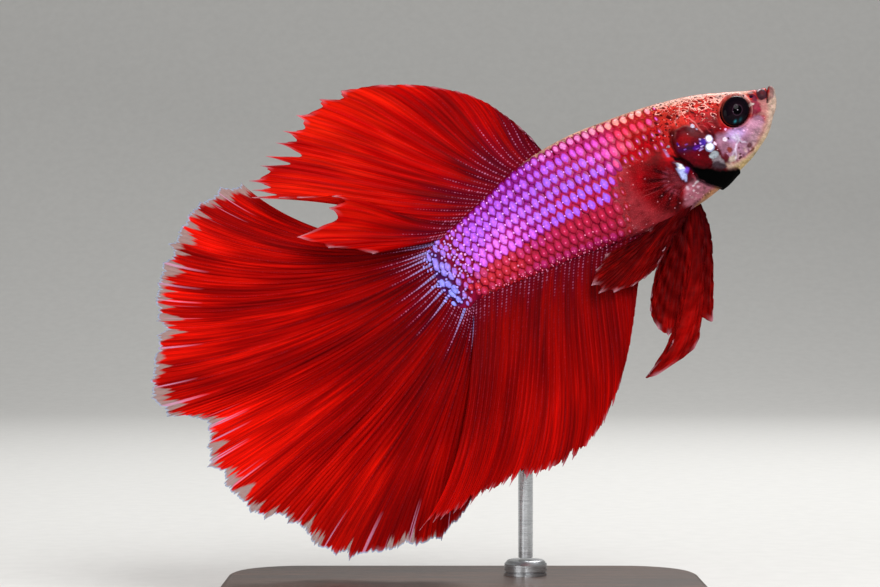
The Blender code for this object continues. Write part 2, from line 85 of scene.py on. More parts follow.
MOUTH = [(-0.1, 1.45), (0.25, 1.0), (0.5, 0.55), (0.72, 0.1), (0.98, -0.3)]
LOWER_LIP = [(-0.35, 1.1), (-0.1, 0.5), (0.25, 0.0), (0.7, -0.42)]
UPPER_LIP = {"centre": (1.08, 0.95), "half": (0.6, 0.66)}
NOSTRILS = [((2.35, 1.3), 0.21, 0.35), ((3.15, 1.78), 0.1, 0.15)]
EYE = {"a": 5.0, "h": 0.66, "y": 2.3, "half_a": 1.92, "half_h": 1.66, "depth": 0.84}
EYE["turn"] = math.radians(12)
GILL_COVER = {"centre": (11.5, -0.7), "half": (1.95, 2.95), "painted": (2.05, 3.05), "lean": 13}
GILL_EDGE = [
    *[(14.3, 1.0), (14.3, -0.3), (13.9, -1.2), (13.0, -2.4)],
    *[(12.9, -4.2), (12.0, -5.5), (10.8, -6.5), (10.4, -8.5)],
]
MEMBRANE = [
    *[(13.0, -2.45), (11.7, -3.4), (10.9, -3.9), (10.0, -4.65), (9.0, -5.05), (7.8, -5.5), (7.4, -9.0)],
    *[(10.4, -9.0), (10.8, -6.4), (11.9, -5.5), (12.7, -4.3), (13.0, -3.2)],
]


def smooth_through(knots, values):
    """A smooth curve through the values at the knots: cubics whose end slopes are those of the
    neighbours."""
    knots, values = np.asarray(knots, float), np.asarray(values, float)
    slopes = np.gradient(values, knots)

    def curve(x):
        x = np.clip(x, knots[0], knots[-1])
        i = np.clip(np.searchsorted(knots, x, side="right") - 1, 0, len(knots) - 2)
        width = knots[i + 1] - knots[i]
        t = (x - knots[i]) / width
        rise = (1 + 2 * t) * (1 - t) ** 2 * values[i] + t * t * (3 - 2 * t) * values[i + 1]
        lean = t * (1 - t) ** 2 * slopes[i] - t * t * (1 - t) * slopes[i + 1]
        return rise + width * lean

    return curve


back_line, belly_line, half_width = (smooth_through(STATIONS[:, 0], STATIONS[:, i]) for i in (1, 2, 3))


def sway(a):
    """The middle plane swings aside with the square of the way past the shoulder."""
    share = (np.asarray(a, float) - SWAY_START) / (BODY_LENGTH - SWAY_START)
    return TAIL_SWAY * np.clip(share, 0, 1.3) ** 2


def roundness(a):
    """The section's exponent: an ellipse at the head, a sharper lens at the tail."""
    share = np.clip(np.asarray(a, float) / BODY_LENGTH, 0, 1)
    return FRONT_ROUNDNESS + (REAR_ROUNDNESS - FRONT_ROUNDNESS) * share


def skin_half_width(a, h):
    """Half the body's width at height h over station a."""
    middle, half = (back_line(a) + belly_line(a)) / 2, (back_line(a) - belly_line(a)) / 2
    return half_width(a) * np.clip(1 - ((h - middle) / half) ** 2, 0, 1) ** (roundness(a) / 2)


def world(a, y, h):
    """Fish frame in mm to world in metres: tailwards runs back and down, because the nose points up."""
    a, y, h = np.broadcast_arrays(np.asarray(a, float), y, h)
    x = SNOUT_X - a * math.cos(NOSE_UP) - h * math.sin(NOSE_UP)
    z = SNOUT_Z - a * math.sin(NOSE_UP) + h * math.cos(NOSE_UP)
    return np.stack([x, y, z], axis=-1) * MM


def fade(x, start, end):
    """0 at start and before, 1 at end and past it, with the cubic 3t^2 - 2t^3 between. End may be below
    start."""
    t = np.clip((x - start) / (end - start), 0, 1)
    return t * t * (3 - 2 * t)


def hump(x, width):
    """The bell curve e^-(x / width)^2."""
    return np.exp(-((x / width) ** 2))


def oval(a, h, centre, half, lean=0):
    """Distance from an oval's centre as a share of its edge's: 0 in the middle, 1 on the edge."""
    da, dh, turn = a - centre[0], h - centre[1], math.radians(lean)
    p, q = da * math.cos(turn) - dh * math.sin(turn), da * math.sin(turn) + dh * math.cos(turn)
    return np.hypot(p / half[0], q / half[1])


def from_line(a, h, line):
    """Distance to the nearest of the straight lengths between the points, mm."""
    best = np.full(np.shape(a), 1e9)
    for (a0, h0), (a1, h1) in zip(line, line[1:]):
        da, dh = a1 - a0, h1 - h0
        t = np.clip(((a - a0) * da + (h - h0) * dh) / (da * da + dh * dh), 0, 1)
        best = np.minimum(best, np.hypot(a - a0 - t * da, h - h0 - t * dh))
    return best


def patch(a, h, outline, soft):
    """1 inside a closed outline and 0 outside, blended over soft mm across its edge. A point is inside if a
    line from it crosses the outline an odd number of times."""
    inside = np.zeros(np.shape(a), bool)
    ring = [*outline, outline[0]]
    for (a0, h0), (a1, h1) in zip(ring, ring[1:]):
        if h0 != h1:
            inside ^= ((h0 > h) != (h1 > h)) & (a < a0 + (h - h0) * (a1 - a0) / (h1 - h0))
    depth = from_line(a, h, ring) * np.where(inside, 1, -1)
    return fade(depth, -soft / 2, soft / 2)


def ripple(a, h, size, seed=0.0):
    """An uneven wave between about -1 and 1: five sines whose lengths and headings never fall in step."""
    k = 2 * math.pi / size
    total = np.zeros(np.shape(a))
    for n, (turn, pitch) in enumerate(((0.3, 1.0), (1.4, 1.27), (2.5, 0.81), (3.4, 1.63), (5.1, 2.1))):
        way = a * math.cos(turn + seed) + h * math.sin(turn + seed)
        total += np.sin(k * pitch * way + 2.3 * n + 5 * seed) / (1 + 0.4 * n)
    return total / 3


def rings_at(places, count, inset):
    """Points round the body that part each ring's length evenly, and the sine of each one's turn: 0 on the
    back and belly, 1 and -1 on the flanks. Height follows the cosine, and width the sine raised to the
    section's roundness; the length is summed over fine turns and the even ones are read off."""
    a = places[:, None]
    turn = np.linspace(0, 2 * math.pi, 1441)[None, :]
    middle, half = (back_line(a) + belly_line(a)) / 2, (back_line(a) - belly_line(a)) / 2
    wide = half_width(a)
    half = np.maximum(half - inset[:, None], half * 0.3)
    wide = np.maximum(wide - inset[:, None], wide * 0.3)
    y = wide * np.sign(np.sin(turn)) * np.abs(np.sin(turn)) ** roundness(a)
    h = middle + half * np.cos(turn)
    length = np.concatenate([0 * a, np.cumsum(np.hypot(np.diff(y), np.diff(h)), axis=1)], 1)
    even = np.arange(count) / count
    picked = np.stack([np.interp(even, row / row[-1], turn[0]) for row in length])
    y = wide * np.sign(np.sin(picked)) * np.abs(np.sin(picked)) ** roundness(a) + sway(a)
    return np.stack([np.broadcast_to(a, y.shape), y, middle + half * np.cos(picked)], -1), np.sin(picked)


def outward(points):
    """Unit normals of a grid closed round its columns: the cross product of the steps along and round
    it."""
    along = np.gradient(points, axis=0)
    around = np.roll(points, -1, axis=1) - np.roll(points, 1, axis=1)
    normal = np.cross(along, around)
    return normal / np.maximum(np.linalg.norm(normal, axis=2, keepdims=True), 1e-9)


def eye_share(a, h):
    """Distance from the middle of the eye as a share of its outline's, in the eye's own level
    directions."""
    da, dh = a - EYE["a"], h - EYE["h"]
    level = da * math.cos(NOSE_UP) - dh * math.sin(NOSE_UP)
    up = da * math.sin(NOSE_UP) + dh * math.cos(NOSE_UP)
    return np.hypot(level / (EYE["half_a"] * math.cos(EYE["turn"])), up / EYE["half_h"])


def relief(a, h, side):
    """How far the skin stands off the smooth body, mm: lips, cheek, gill cover, membrane and the root of
    the pectoral fin are humps; nostrils and eye sockets are pits with raised rims; and the mouth, creases
    and gill slit are bell-shaped grooves along lines in side view."""
    flank = fade(np.abs(side), 0.12, 0.5)
    lip = oval(a, h, UPPER_LIP["centre"], UPPER_LIP["half"])
    out = 0.24 * np.sqrt(np.clip(1 - lip**2, 0, 1)) - 0.1 * hump(lip - 1.15, 0.14) * fade(a, 0.9, 1.4)
    out += 0.17 * hump(from_line(a, h, LOWER_LIP), 0.24)
    out -= 0.34 * hump(from_line(a, h, MOUTH), 0.1)
    out -= 0.07 * hump(from_line(a, h, [(-0.75, 0.35), (-0.3, -0.25), (0.2, -0.75), (1.0, -1.0)]), 0.16)
    for centre, radius, depth in NOSTRILS:
        off = np.hypot(a - centre[0], h - centre[1])
        out += 0.07 * hump(off - radius * 1.5, radius * 0.5) - depth * fade(off, radius * 1.3, radius * 0.5)
    eye = eye_share(a, h)
    socket = 0.12 * hump(eye - 1.17, 0.06) - 0.05 * hump(eye - 1.32, 0.08) - 0.75 * fade(eye, 1.12, 1.02)
    out += flank * socket
    out -= 0.1 * hump(from_line(a, h, [(1.5, 0.1), (2.05, -0.45), (2.3, -1.3), (2.0, -2.2)]), 0.14) * flank
    jaw = from_line(a, h, [(2.3, -2.6), (3.7, -3.65), (5.2, -4.45), (7.2, -4.7)])
    out -= 0.07 * hump(jaw, 0.14) * flank
    out += 0.14 * flank * np.clip(1 - oval(a, h, (6.0, -2.4), (2.7, 1.9), 20) ** 2, 0, 1)
    cheek = from_line(a, h, [(9.0, 2.0), (8.8, 0.6), (8.95, -1.2), (8.8, -2.6), (8.2, -3.9)])
    out -= 0.1 * hump(cheek, 0.15) * flank
    cover = oval(a, h, GILL_COVER["centre"], GILL_COVER["half"], GILL_COVER["lean"])
    rear = fade(a + 0.3 * (h + 0.6), 11.6, 13.0) + fade(h, -1.5, -3.2)
    out += flank * 0.22 * np.clip(1 - cover**3, 0, 1)
    out -= flank * 0.36 * hump((cover - 1.1) * 2.4, 0.22) * np.clip(rear, 0, 1)
    folded = patch(a, h, MEMBRANE, 0.3)
    out += folded * (0.22 + 0.02 * np.sin(7 * (h + 0.55 * a)))
    out -= 0.28 * hump(from_line(a, h, GILL_EDGE), 0.17) * fade(np.abs(side), 0.02, 0.3)
    out += 0.2 * flank * np.clip(1 - oval(a, h, (14.9, -3.2), (0.8, 1.1)) ** 2, 0, 1)
    return out + 0.02 * ripple(a, h, 1.7) * fade(a, 16, 10) * fade(a, 0.5, 2.0)


def linear(code):
    """An sRGB hex colour turned linear: value/12.92 below 0.04045, else ((value + 0.055)/1.055)^2.4."""
    value = np.array([int(code[i : i + 2], 16) for i in (1, 3, 5)]) / 255
    return np.where(value <= 0.04045, value / 12.92, ((value + 0.055) / 1.055) ** 2.4)


def painted(shape, ground, layers):
    """Linear colours in an array of this shape: a ground hex colour, then layers of (hex colour, amount)
    laid over it in turn, each covering what lies below it by its amount."""
    colour = np.ones((*shape, 3)) * linear(ground)
    for code, amount in layers:
        colour = colour + (linear(code) - colour) * np.clip(amount, 0, 1)[..., None]
    return colour


def within(share):
    """Shares of a whole turned into places that keep clear of the unwrap's edge."""
    return 0.01 + 0.98 * share


def flesh(a, h):
    """The markings of the bare skin, with painted highlights and painted shade among them, laid over one
    another from the flank to the smallest spots. Their places waver by about 0.1 mm, as hand painting does."""
    wa, wh = a + 0.12 * ripple(a, h, 1.1, 0.4), h + 0.12 * ripple(a, h, 1.3, 1.7)
    ridge, under, eye = back_line(a) - h, h - belly_line(a), eye_share(a, h)

    def area(outline, soft):
        """A patch whose edge wavers."""
        return patch(wa, wh, outline, soft)

    def blot(centre, half, start, end, lean=0):
        """An oval, none of it at start times its size and all of it from end times its size inwards."""
        return fade(oval(wa, wh, centre, half, lean), start, end)

    flank = [
        ("#760526", fade(a, 19, 24)),
        ("#8A0A30", fade(a, 40, 43.5)),
        ("#4A124A", fade(a, 43, 44.5) * fade(np.abs(h - 0.3), 4.6, 3.2)),
        ("#C8442E", fade(h, 3.2, 5.6) * fade(a, 20, 14)),
    ]

    # dark bars fan out from the root of the pectoral fin over a duller, pinker flank
    off, heading = np.hypot(a - 14.9, h + 3.1), np.arctan2(h + 3.1, a - 14.9)
    bars = np.clip(np.sin(15 * heading + 1.2 * np.sin(2.1 * heading)), 0, 1) ** 0.45
    bars = bars * fade(off, 1.1, 1.7) * fade(off, 4.2 + 0.7 * np.sin(5 * heading), 2.9)
    arc = hump(off - 1.55, 0.4) * np.clip(0.5 + 0.5 * np.sin(21 * heading), 0, 1)
    arc = arc * fade(np.abs(heading - 0.1), 1.4, 1.0)
    veil = [
        *[(19.8, 1.6), (22.2, 0.9), (24.2, -1.5), (24.2, -6.6), (16.5, -7.6), (16.0, -6.2), (19.0, -4.6)],
        (20.2, -2.0),
    ]
    behind_gill = [
        ("#963038", 0.8 * area(veil, 2.0)),
        ("#5C0206", 0.92 * fade(off, 5.4, 3.4) * fade(np.abs(heading), 1.6, 1.2)),
        ("#140003", 0.95 * bars * fade(np.abs(heading), 1.25, 1.0)),
        ("#8C3A48", 0.7 * fade(off, 1.3, 0.6)),
        ("#A0485C", 0.8 * arc),
    ]

    lower_throat = [
        *[(12.6, -4.0), (13.6, -3.6), (14.8, -4.4), (15.6, -6.0)],
        *[(15.2, -8.0), (10.6, -8.0), (11.0, -6.4)],
    ]
    belly_edge = [(10.7, -6.2), (12.2, -6.1), (14.6, -6.9), (14.6, -8.5), (10.4, -8.5)]
    bright_red = [(7.2, 2.4), (8.6, 3.2), (10.8, 3.0), (10.4, 1.2), (8.4, 0.9), (7.4, 1.2)]
    behind_eye = [
        *[(7.0, 1.6), (7.8, 1.5), (9.6, 1.5), (10.6, 0.4)],
        *[(9.9, -0.4), (8.8, -0.8), (6.8, -1.1), (7.3, 0.2)],
    ]
    before_cover = [(8.5, 0.4), (10.6, 0.4), (11.0, -3.2), (10.4, -4.7), (8.4, -4.8), (8.2, -2.5)]
    back_highlight_band = 0.75 + 0.35 * hump(a - 11.5, 2.5) + 0.35 * ripple(a, h, 1.6, 2.2)
    head = [
        ("#9C6070", 0.9 * area(lower_throat, 0.8)),
        ("#A9774A", 0.9 * area(belly_edge, 0.6)),
        ("#C02E26", fade(a, 15.5, 11.5) * fade(wh + 0.12 * a, 0.2, 2.0)),
        ("#B81820", 0.8 * area(bright_red, 0.8)),
        ("#820812", 0.95 * area(behind_eye, 1.0)),
        ("#5A040A", 0.7 * blot((7.9, 0.3), (0.45, 1.1), 1.3, 0.5, -20)),
        ("#4A0610", 0.95 * area(before_cover, 0.5)),
        # painted highlight: a pale band along the back line, where the top of the back catches the light
        ("#E2A892", 0.9 * fade(ridge, back_highlight_band, 0.3 * back_highlight_band) * fade(a, 1.6, 2.8) * fade(a, 31, 27)),
    ]

    cheek_outline = [
        *[(2.6, -0.8), (3.6, -1.0), (4.3, -1.4), (5.2, -1.6)],
        *[(6.4, -1.3), (7.3, -0.9), (8.4, -0.7), (8.9, -1.6)],
        *[(8.8, -2.8), (8.6, -4.2), (7.8, -4.7), (6.4, -4.7), (4.8, -4.1), (3.4, -3.3), (2.4, -2.2)],
    ]
    snout_outline = [
        *[(3.2, 1.0), (1.8, 0.6), (1.0, 0.2), (0.6, -0.6)],
        *[(1.4, -2.0), (2.6, -1.2), (3.3, -0.9), (3.6, 0.0)],
    ]
    eye_corner = [(1.95, 0.7), (2.9, 0.9), (3.4, 0.3), (3.5, -0.7), (2.9, -1.05), (2.2, -0.8), (1.9, -0.1)]
    cheek = [
        ("#A47490", area(cheek_outline, 0.7)),
        # painted highlights: the paler pink at the front of the cheek, the lilac sheen over its middle and
        # the bluish-white spot in it
        ("#B8829A", 0.8 * blot((3.9, -1.9), (1.5, 0.9), 1.3, 0.6, -25)),
        ("#A888BE", 0.85 * blot((6.4, -1.7), (1.3, 0.8), 1.4, 0.5)),
        ("#CDBFE0", 0.6 * blot((6.5, -2.0), (0.5, 0.5), 1.5, 0.3)),
        ("#9C667C", 0.7 * blot((8.3, -2.3), (0.6, 0.9), 1.3, 0.6)),
        ("#B89098", 0.6 * blot((4.4, -3.2), (2.2, 0.7), 1.3, 0.4, 22)),
        ("#A86C6A", area(snout_outline, 0.3)),
        ("#8C1C38", 0.95 * area(eye_corner, 0.35)),
    ]

    # the chin is cream with a yellower keel, and short dark teeth of pigment hang along its upper edge
    chin_outline = [
        *[(-1, 0.7), (0.2, 0.4), (0.9, -0.3), (1.4, -1.1)],
        *[(2.2, -2.2), (3.1, -3.1), (4.5, -3.9), (5.4, -4.55)],
        *[(6.6, -4.8), (8.0, -4.65), (9.0, -4.35), (9.1, -5.2), (8.0, -6.0), (7.4, -7), (-1, -7)],
    ]
    chin_top = [(0.9, -0.3), (1.6, -0.9), (2.5, -2.2), (5.4, -4.3), (4.6, -4.5), (2.4, -2.9)]
    keel = [(4.2, -4.4), (5.8, -5.0), (8.6, -4.9), (7.6, -5.8), (4.0, -5.0)]
    teeth = np.sin(8.2 * wa + 1.1 * np.sin(2.3 * a)) * fade(a, 4.2, 5.2) * fade(a, 8.9, 8.2)
    chin = [
        ("#CCAE9C", area(chin_outline, 0.7)),
        ("#B07C74", 0.8 * area(chin_top, 0.8)),
        ("#BCA47C", 0.7 * fade(under, 0.8, 0.3) * fade(a, 1.0, 4.0) * fade(a, 9.6, 8.8)),
        ("#AE9450", 0.6 * area(keel, 0.5)),
        ("#D8B4B0", 0.6 * np.clip(teeth, 0, 1) * hump(wh + 4.0 + 0.12 * (a - 6), 0.42)),
        ("#6A2018", 0.7 * np.clip(-teeth - 0.2, 0, 1) * hump(wh + 4.3 + 0.12 * (a - 6), 0.3)),
    ]
    face_spots_and_highlight = [
        *[("#84301C", (7.9, -3.0), (0.32, 0.36)), ("#66303A", (5.5, -3.65), (0.4, 0.34))],
        *[("#6A4030", (5.35, -4.4), (0.4, 0.12)), ("#580A12", (8.6, -3.6), (0.3, 0.6))],
        # the pink-white oval at (2.95, 0.42), in front of the eye, is a painted highlight
        *[("#B8A898", (8.0, -4.15), (0.55, 0.36)), ("#EADAD4", (2.95, 0.42), (0.36, 0.17))],
        *[("#E4C4C0", (3.35, 1.55), (0.4, 0.22)), ("#E8B4AC", (5.8, 3.0), (0.55, 0.36))],
        *[("#2A0A10", (5.6, 3.08), (0.12, 0.12)), ("#2A0A10", (6.0, 2.9), (0.12, 0.1))],
        *[("#EED0CC", (3.35, 1.9), (0.26, 0.22)), ("#1E0A12", (3.35, 1.9), (0.11, 0.1))],
        *[("#5A1C20", (4.5, 2.75), (0.3, 0.16)), ("#5E1C34", (2.15, 0.95), (0.3, 0.5))],
        *[("#7C3838", (2.2, 1.62), (0.5, 0.2)), ("#CC8E8A", (4.3, 2.2), (0.7, 0.2))],
        *[("#3A0414", (6.35, -1.05), (0.13, 0.12)), ("#3A0418", (7.4, -1.8), (0.14, 0.15))],
        *[("#4A1024", (6.35, -2.75), (0.1, 0.16)), ("#4A0810", (6.95, -4.0), (0.12, 0.12))],
        *[("#4A0810", (7.1, -4.45), (0.18, 0.2)), ("#5A2030", (6.85, -3.4), (0.1, 0.2))],
    ]
    veins = [
        [(6.3, -1.9), (6.45, -2.5), (7.0, -2.9), (7.4, -3.6), (7.7, -4.3)],
        *[[(6.45, -2.5), (6.0, -3.0), (5.7, -3.1)], [(7.2, -3.2), (7.9, -3.8)], [(6.5, -2.3), (6.9, -1.9)]],
    ]
    face = [(tone, 0.9 * blot(centre, half, 1.25, 0.75)) for tone, centre, half in face_spots_and_highlight]
    face += [("#D2C4DC", 0.7 * fade(from_line(wa, wh, vein), 0.15, 0.02)) for vein in veins]

    cover = oval(wa, wh, GILL_COVER["centre"], GILL_COVER["painted"], GILL_COVER["lean"])
    grey_plate = [(9.2, -3.0), (10.3, -3.0), (10.4, -3.6), (9.9, -3.7), (9.4, -4.3), (9.1, -4.3)]
    dark_plate = [(9.05, -4.6), (9.6, -3.55), (10.2, -3.5), (10.9, -4.0), (10.0, -4.75)]
    gill_cover = [
        ("#540410", 0.97 * fade(cover, 1.08, 0.9)),
        ("#7A060C", 0.85 * blot((12.1, 0.6), (0.95, 0.8), 1.2, 0.5)),
        ("#540208", 0.8 * blot((11.3, -2.6), (1.0, 1.0), 1.2, 0.5)),
        ("#2A0634", 0.9 * hump(from_line(wa, wh, [(10.6, -0.8), (11.6, -0.75), (13.1, -0.2)]), 0.38)),
        ("#6A3644", 0.55 * blot((10.7, 1.5), (0.45, 0.6), 1.3, 0.4)),
        # painted highlight along the cover's upper edge, then painted shadow along its rear edge
        ("#8A4A48", 0.7 * hump(cover - 0.97, 0.05) * fade(h, 0.6, 1.6) * fade(a, 13.4, 12.6)),
        ("#1C0004", 0.8 * fade(cover, 0.9, 1.04) * fade(cover, 1.2, 1.08) * fade(a, 11.8, 12.8)),
        ("#8A8088", 0.9 * area(grey_plate, 0.25)),
        ("#403038", area(dark_plate, 0.3)),
        ("#4A2CA4", 0.95 * blot((10.35, -0.7), (0.5, 0.45), 1.2, 0.6)),
        ("#4C1288", 0.9 * blot((11.1, -0.9), (0.7, 0.28), 1.3, 0.5, -15)),
    ]

    # white and violet glints, which waver half as much, and pale lines on the bones behind the eye. The first
    # two ovals are painted bluish shade round the two big white spots, and the pink-white ones from 4.9 to
    # 7.8 mm are painted highlights
    glint_spots = [
        *[("#A898C8", (9.45, -0.7), (0.48, 0.54)), ("#98A0C4", (9.87, -1.62), (0.6, 0.56))],
        *[("#F8F8FC", (9.43, -0.62), (0.36, 0.42)), ("#F6F8FC", (9.85, -1.54), (0.46, 0.42))],
        *[("#F0C8E8", (9.08, -1.5), (0.16, 0.24)), ("#A4ACB4", (9.8, -2.65), (0.55, 0.48))],
        *[("#A8B0B8", (10.25, -2.5), (0.3, 0.22)), ("#F6E4F8", (7.8, -1.65), (0.25, 0.27))],
        *[("#E8A8D8", (7.15, -0.65), (0.14, 0.13)), ("#E8B0D8", (5.3, -1.8), (0.1, 0.1))],
        *[("#E0A8CC", (4.9, -1.95), (0.09, 0.09)), ("#D88080", (8.2, 0.2), (0.09, 0.09))],
        *[("#D8B4F0", (10.45, -0.2), (0.13, 0.12)), ("#C094F0", (10.7, -0.6), (0.13, 0.13))],
        *[("#E4D0FF", (10.66, -1.0), (0.22, 0.11)), ("#C8A4F0", (10.95, -1.33), (0.3, 0.12))],
        *[("#DC80DC", (11.25, -0.42), (0.09, 0.09)), ("#9A60DC", (11.25, -1.05), (0.25, 0.07))],
        *[("#8A48B4", (12.2, 0.05), (0.2, 0.1)), ("#7A48B0", (12.6, -0.35), (0.12, 0.08))],
        *[("#C4BCD4", (10.4, 1.6), (0.2, 0.26)), ("#9A90B0", (10.2, 1.0), (0.1, 0.1))],
        *[("#A8B0C8", (14.1, 0.9), (0.1, 0.12)), ("#3A1878", (13.0, 0.5), (0.1, 0.25))],
    ]
    pale_lines = [
        ("#F0BCB0", [(10.5, 4.4), (11.1, 3.5)]),
        ("#E8948C", [(10.0, 3.5), (11.2, 3.45), (11.9, 3.2), (12.0, 2.7)]),
        ("#D87C7C", [(10.3, 2.7), (10.0, 1.8), (9.8, 0.4)]),
        ("#B83A40", [(9.6, 1.4), (9.0, 0.6), (8.9, 0.0)]),
        ("#B83A40", [(9.2, 2.0), (8.5, 1.0), (8.3, 0.4)]),
        ("#9088C8", [(14.6, 1.6), (14.75, 0.4), (14.6, -0.8), (14.2, -1.4)]),
    ]
    calm_a, calm_h = wa * 0.5 + a * 0.5, wh * 0.5 + h * 0.5
    glints = [
        (tone, fade(oval(calm_a, calm_h, centre, half), 1.08, 0.88)) for tone, centre, half in glint_spots
    ]
    glints += [(tone, 0.6 * fade(from_line(wa, wh, line), 0.12, 0.02)) for tone, line in pale_lines]

    # the black membrane under the cover, and the lit leaf of bone behind it. The gill slit, the dark line
    # along the gill's rear edge and the shadow patch behind the gill are painted shade
    membrane_edge = [(13.0, -2.4), (11.7, -3.35), (10.9, -3.85), (10.0, -4.6), (9.0, -5.05), (8.0, -5.4)]
    slit = [(14.6, 0.0), (14.3, -0.9), (13.4, -1.9), (12.9, -2.9), (12.6, -2.4), (13.2, -1.2)]
    shadow = [(14.9, -0.7), (13.3, -1.4), (12.9, -2.6), (13.3, -4.0), (14.5, -4.3), (15.1, -2.6)]
    leaf = [
        *[(14.15, -1.35), (13.75, -1.8), (13.6, -2.6), (14.0, -3.5)],
        *[(14.25, -3.85), (14.6, -3.0), (14.55, -2.0)],
    ]
    gill = [
        ("#2A0408", 0.95 * hump(from_line(a, h, membrane_edge), 0.26)),
        ("#000000", area(MEMBRANE, 0.2)),
        ("#360308", 0.8 * blot((9.8, -7.1), (0.7, 0.4), 1.2, 0.5)),
        ("#020002", area(slit, 0.3)),
        ("#08000A", 0.9 * hump(from_line(a, h, GILL_EDGE[3:]), 0.18)),
        ("#3A0410", 0.9 * area(shadow, 0.5)),
        ("#AEB8EC", patch(a, h, leaf, 0.15)),
        ("#FFFFFF", 0.9 * area([(14.2, -1.4), (13.7, -1.85), (13.7, -2.2), (14.25, -2.2)], 0.15)),
        ("#6A40BC", 0.9 * area([(13.5, -2.2), (13.2, -2.6), (13.7, -3.1), (14.0, -2.6)], 0.2)),
    ]
    # painted highlights: the pale spots are white glints on the throat, and the two darker ones are red-brown
    # dots
    throat_glints_and_dots = [
        *[("#E0D4DC", (13.2, -4.5), (0.3, 0.13)), ("#DCCCD8", (13.7, -4.62), (0.2, 0.12))],
        *[("#CDB4C4", (14.4, -4.5), (0.16, 0.2)), ("#C8A4B4", (13.25, -5.1), (0.16, 0.16))],
        *[("#E4CCD8", (13.95, -5.15), (0.12, 0.12)), ("#C498A8", (14.8, -5.1), (0.12, 0.14))],
        *[("#D0A8B0", (13.6, -5.65), (0.12, 0.1)), ("#7A4A50", (12.6, -5.4), (0.2, 0.22))],
        *[("#D0A0A8", (14.5, -5.8), (0.1, 0.1)), ("#B88890", (14.1, -6.15), (0.1, 0.1))],
        *[("#8A5A60", (12.9, -5.85), (0.14, 0.12)), ("#C890A0", (15.3, -5.6), (0.1, 0.1))],
    ]
    throat = [(tone, 0.85 * blot(centre, half, 1.5, 0.5)) for tone, centre, half in throat_glints_and_dots]
    row = fade(np.abs(under - 0.55), 0.16, 0.06) * fade(np.abs((a * 2.6) % 1 - 0.5), 0.2, 0.08)
    throat += [("#4A1810", 0.8 * row * fade(a, 11.6, 12.2) * fade(a, 16.5, 15.5))]

    lower_rim = [(-0.62, 1.0), (-0.5, 0.5), (-0.1, -0.1)]
    eye_and_lips = [
        ("#B86860", 0.55 * hump(eye - 1.12, 0.045) * (0.5 + 0.5 * fade(h, 0.2, 1.6))),
        ("#C89890", 0.5 * hump(eye - 1.18, 0.05) * fade(a - 0.4 * h, 4.4, 3.0)),
        ("#0A0204", fade(eye, 1.08, 1.02)),
        ("#4A2630", blot(UPPER_LIP["centre"], (0.66, 0.74), 1.12, 0.9)),
        # painted highlight on the top of the upper lip's ball
        ("#B8A8AC", 0.9 * blot((1.15, 1.4), (0.34, 0.2), 1.3, 0.5, 20)),
        ("#6A2C30", 0.7 * blot((1.1, 0.85), (0.25, 0.25), 1.3, 0.5)),
        ("#84605E", 0.9 * fade(from_line(a, h, LOWER_LIP), 0.32, 0.2) * fade(h, -0.3, 0.0)),
        ("#B0A49C", 0.9 * hump(from_line(a, h, lower_rim), 0.12)),
        ("#200810", 0.95 * fade(from_line(a, h, MOUTH), 0.13, 0.05)),
    ]
    for centre, radius, _ in NOSTRILS:
        off = np.hypot(a - centre[0], h - centre[1])
        eye_and_lips += [("#D89A92", 0.8 * hump(off - radius * 2.4, radius) * fade(a, 2.6, 3.0))]
        eye_and_lips += [("#16122A", fade(off, radius * 1.3, radius * 0.8))]
    front = [*head, *cheek, *chin, *face, *gill_cover, *glints, *gill, *throat, *eye_and_lips]
    return painted(np.shape(a), "#A20410", [*flank, *behind_gill, *front])


def grid_quads(rows, columns, closed=False):
    """Quads between neighbouring rows and columns: the points' numbers, and each corner's row and
    column."""
    r, c = np.meshgrid(np.arange(rows - 1), np.arange(columns if closed else columns - 1), indexing="ij")
    corner_row = np.stack([r, r, r + 1, r + 1], -1).reshape(-1, 4)
    corner_column = np.stack([c, c + 1, c + 1, c], -1).reshape(-1, 4)
    return corner_row * columns + corner_column % columns, corner_row, corner_column


def piece(name, points, faces, finish, uvs=None, **painted):
    """A smooth closed mesh at the origin. Faces are arrays of point numbers, one array for each number of
    corners, and are turned over together if the volume that they close comes out negative. Uvs hold one
    pair for each corner; painted arrays hold a number or a colour for each point."""
    points = np.asarray(points, float).reshape(-1, 3)
    volume = sum(
        np.einsum("ij,ij->", points[f[:, 0]], np.cross(points[f[:, k]], points[f[:, k + 1]]))
        for f in faces
        for k in range(1, f.shape[1] - 1)
    )
    turn = -1 if volume < 0 else 1
    mesh = bpy.data.meshes.new(name)
    mesh.vertices.add(len(points))
    mesh.vertices.foreach_set("co", points.astype(np.float32).ravel())
    corners = np.concatenate([f[:, ::turn].ravel() for f in faces]).astype(np.int32)
    sizes = np.concatenate([np.full(len(f), f.shape[1]) for f in faces])
    mesh.loops.add(len(corners))
    mesh.polygons.add(len(sizes))
    mesh.polygons.foreach_set("loop_start", (np.cumsum(sizes) - sizes).astype(np.int32))
    mesh.polygons.foreach_set("vertices", corners)
    for layer, pairs in (uvs or {}).items():
        made = mesh.uv_layers.new(name=layer)
        flat = np.concatenate([p[:, ::turn].reshape(-1, 2) for p in pairs])
        made.uv.foreach_set("vector", flat.astype(np.float32).ravel())
    for key, values in painted.items():
        values = np.asarray(values, np.float32)
        if values.shape[-1] == 3 and values.size == points.size:
            values = np.concatenate([values.reshape(-1, 3), np.ones((len(points), 1), np.float32)], 1)
            mesh.color_attributes.new(key, "FLOAT_COLOR", "POINT").data.foreach_set("color", values.ravel())
        else:
            mesh.attributes.new(key, "FLOAT", "POINT").data.foreach_set("value", values.ravel())
    mesh.update(calc_edges=True)
    mesh.shade_smooth()
    mesh.materials.append(finish)
    made = bpy.data.objects.new(name, mesh)
    bpy.context.scene.collection.objects.link(made)
    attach(made, "root")
    return made


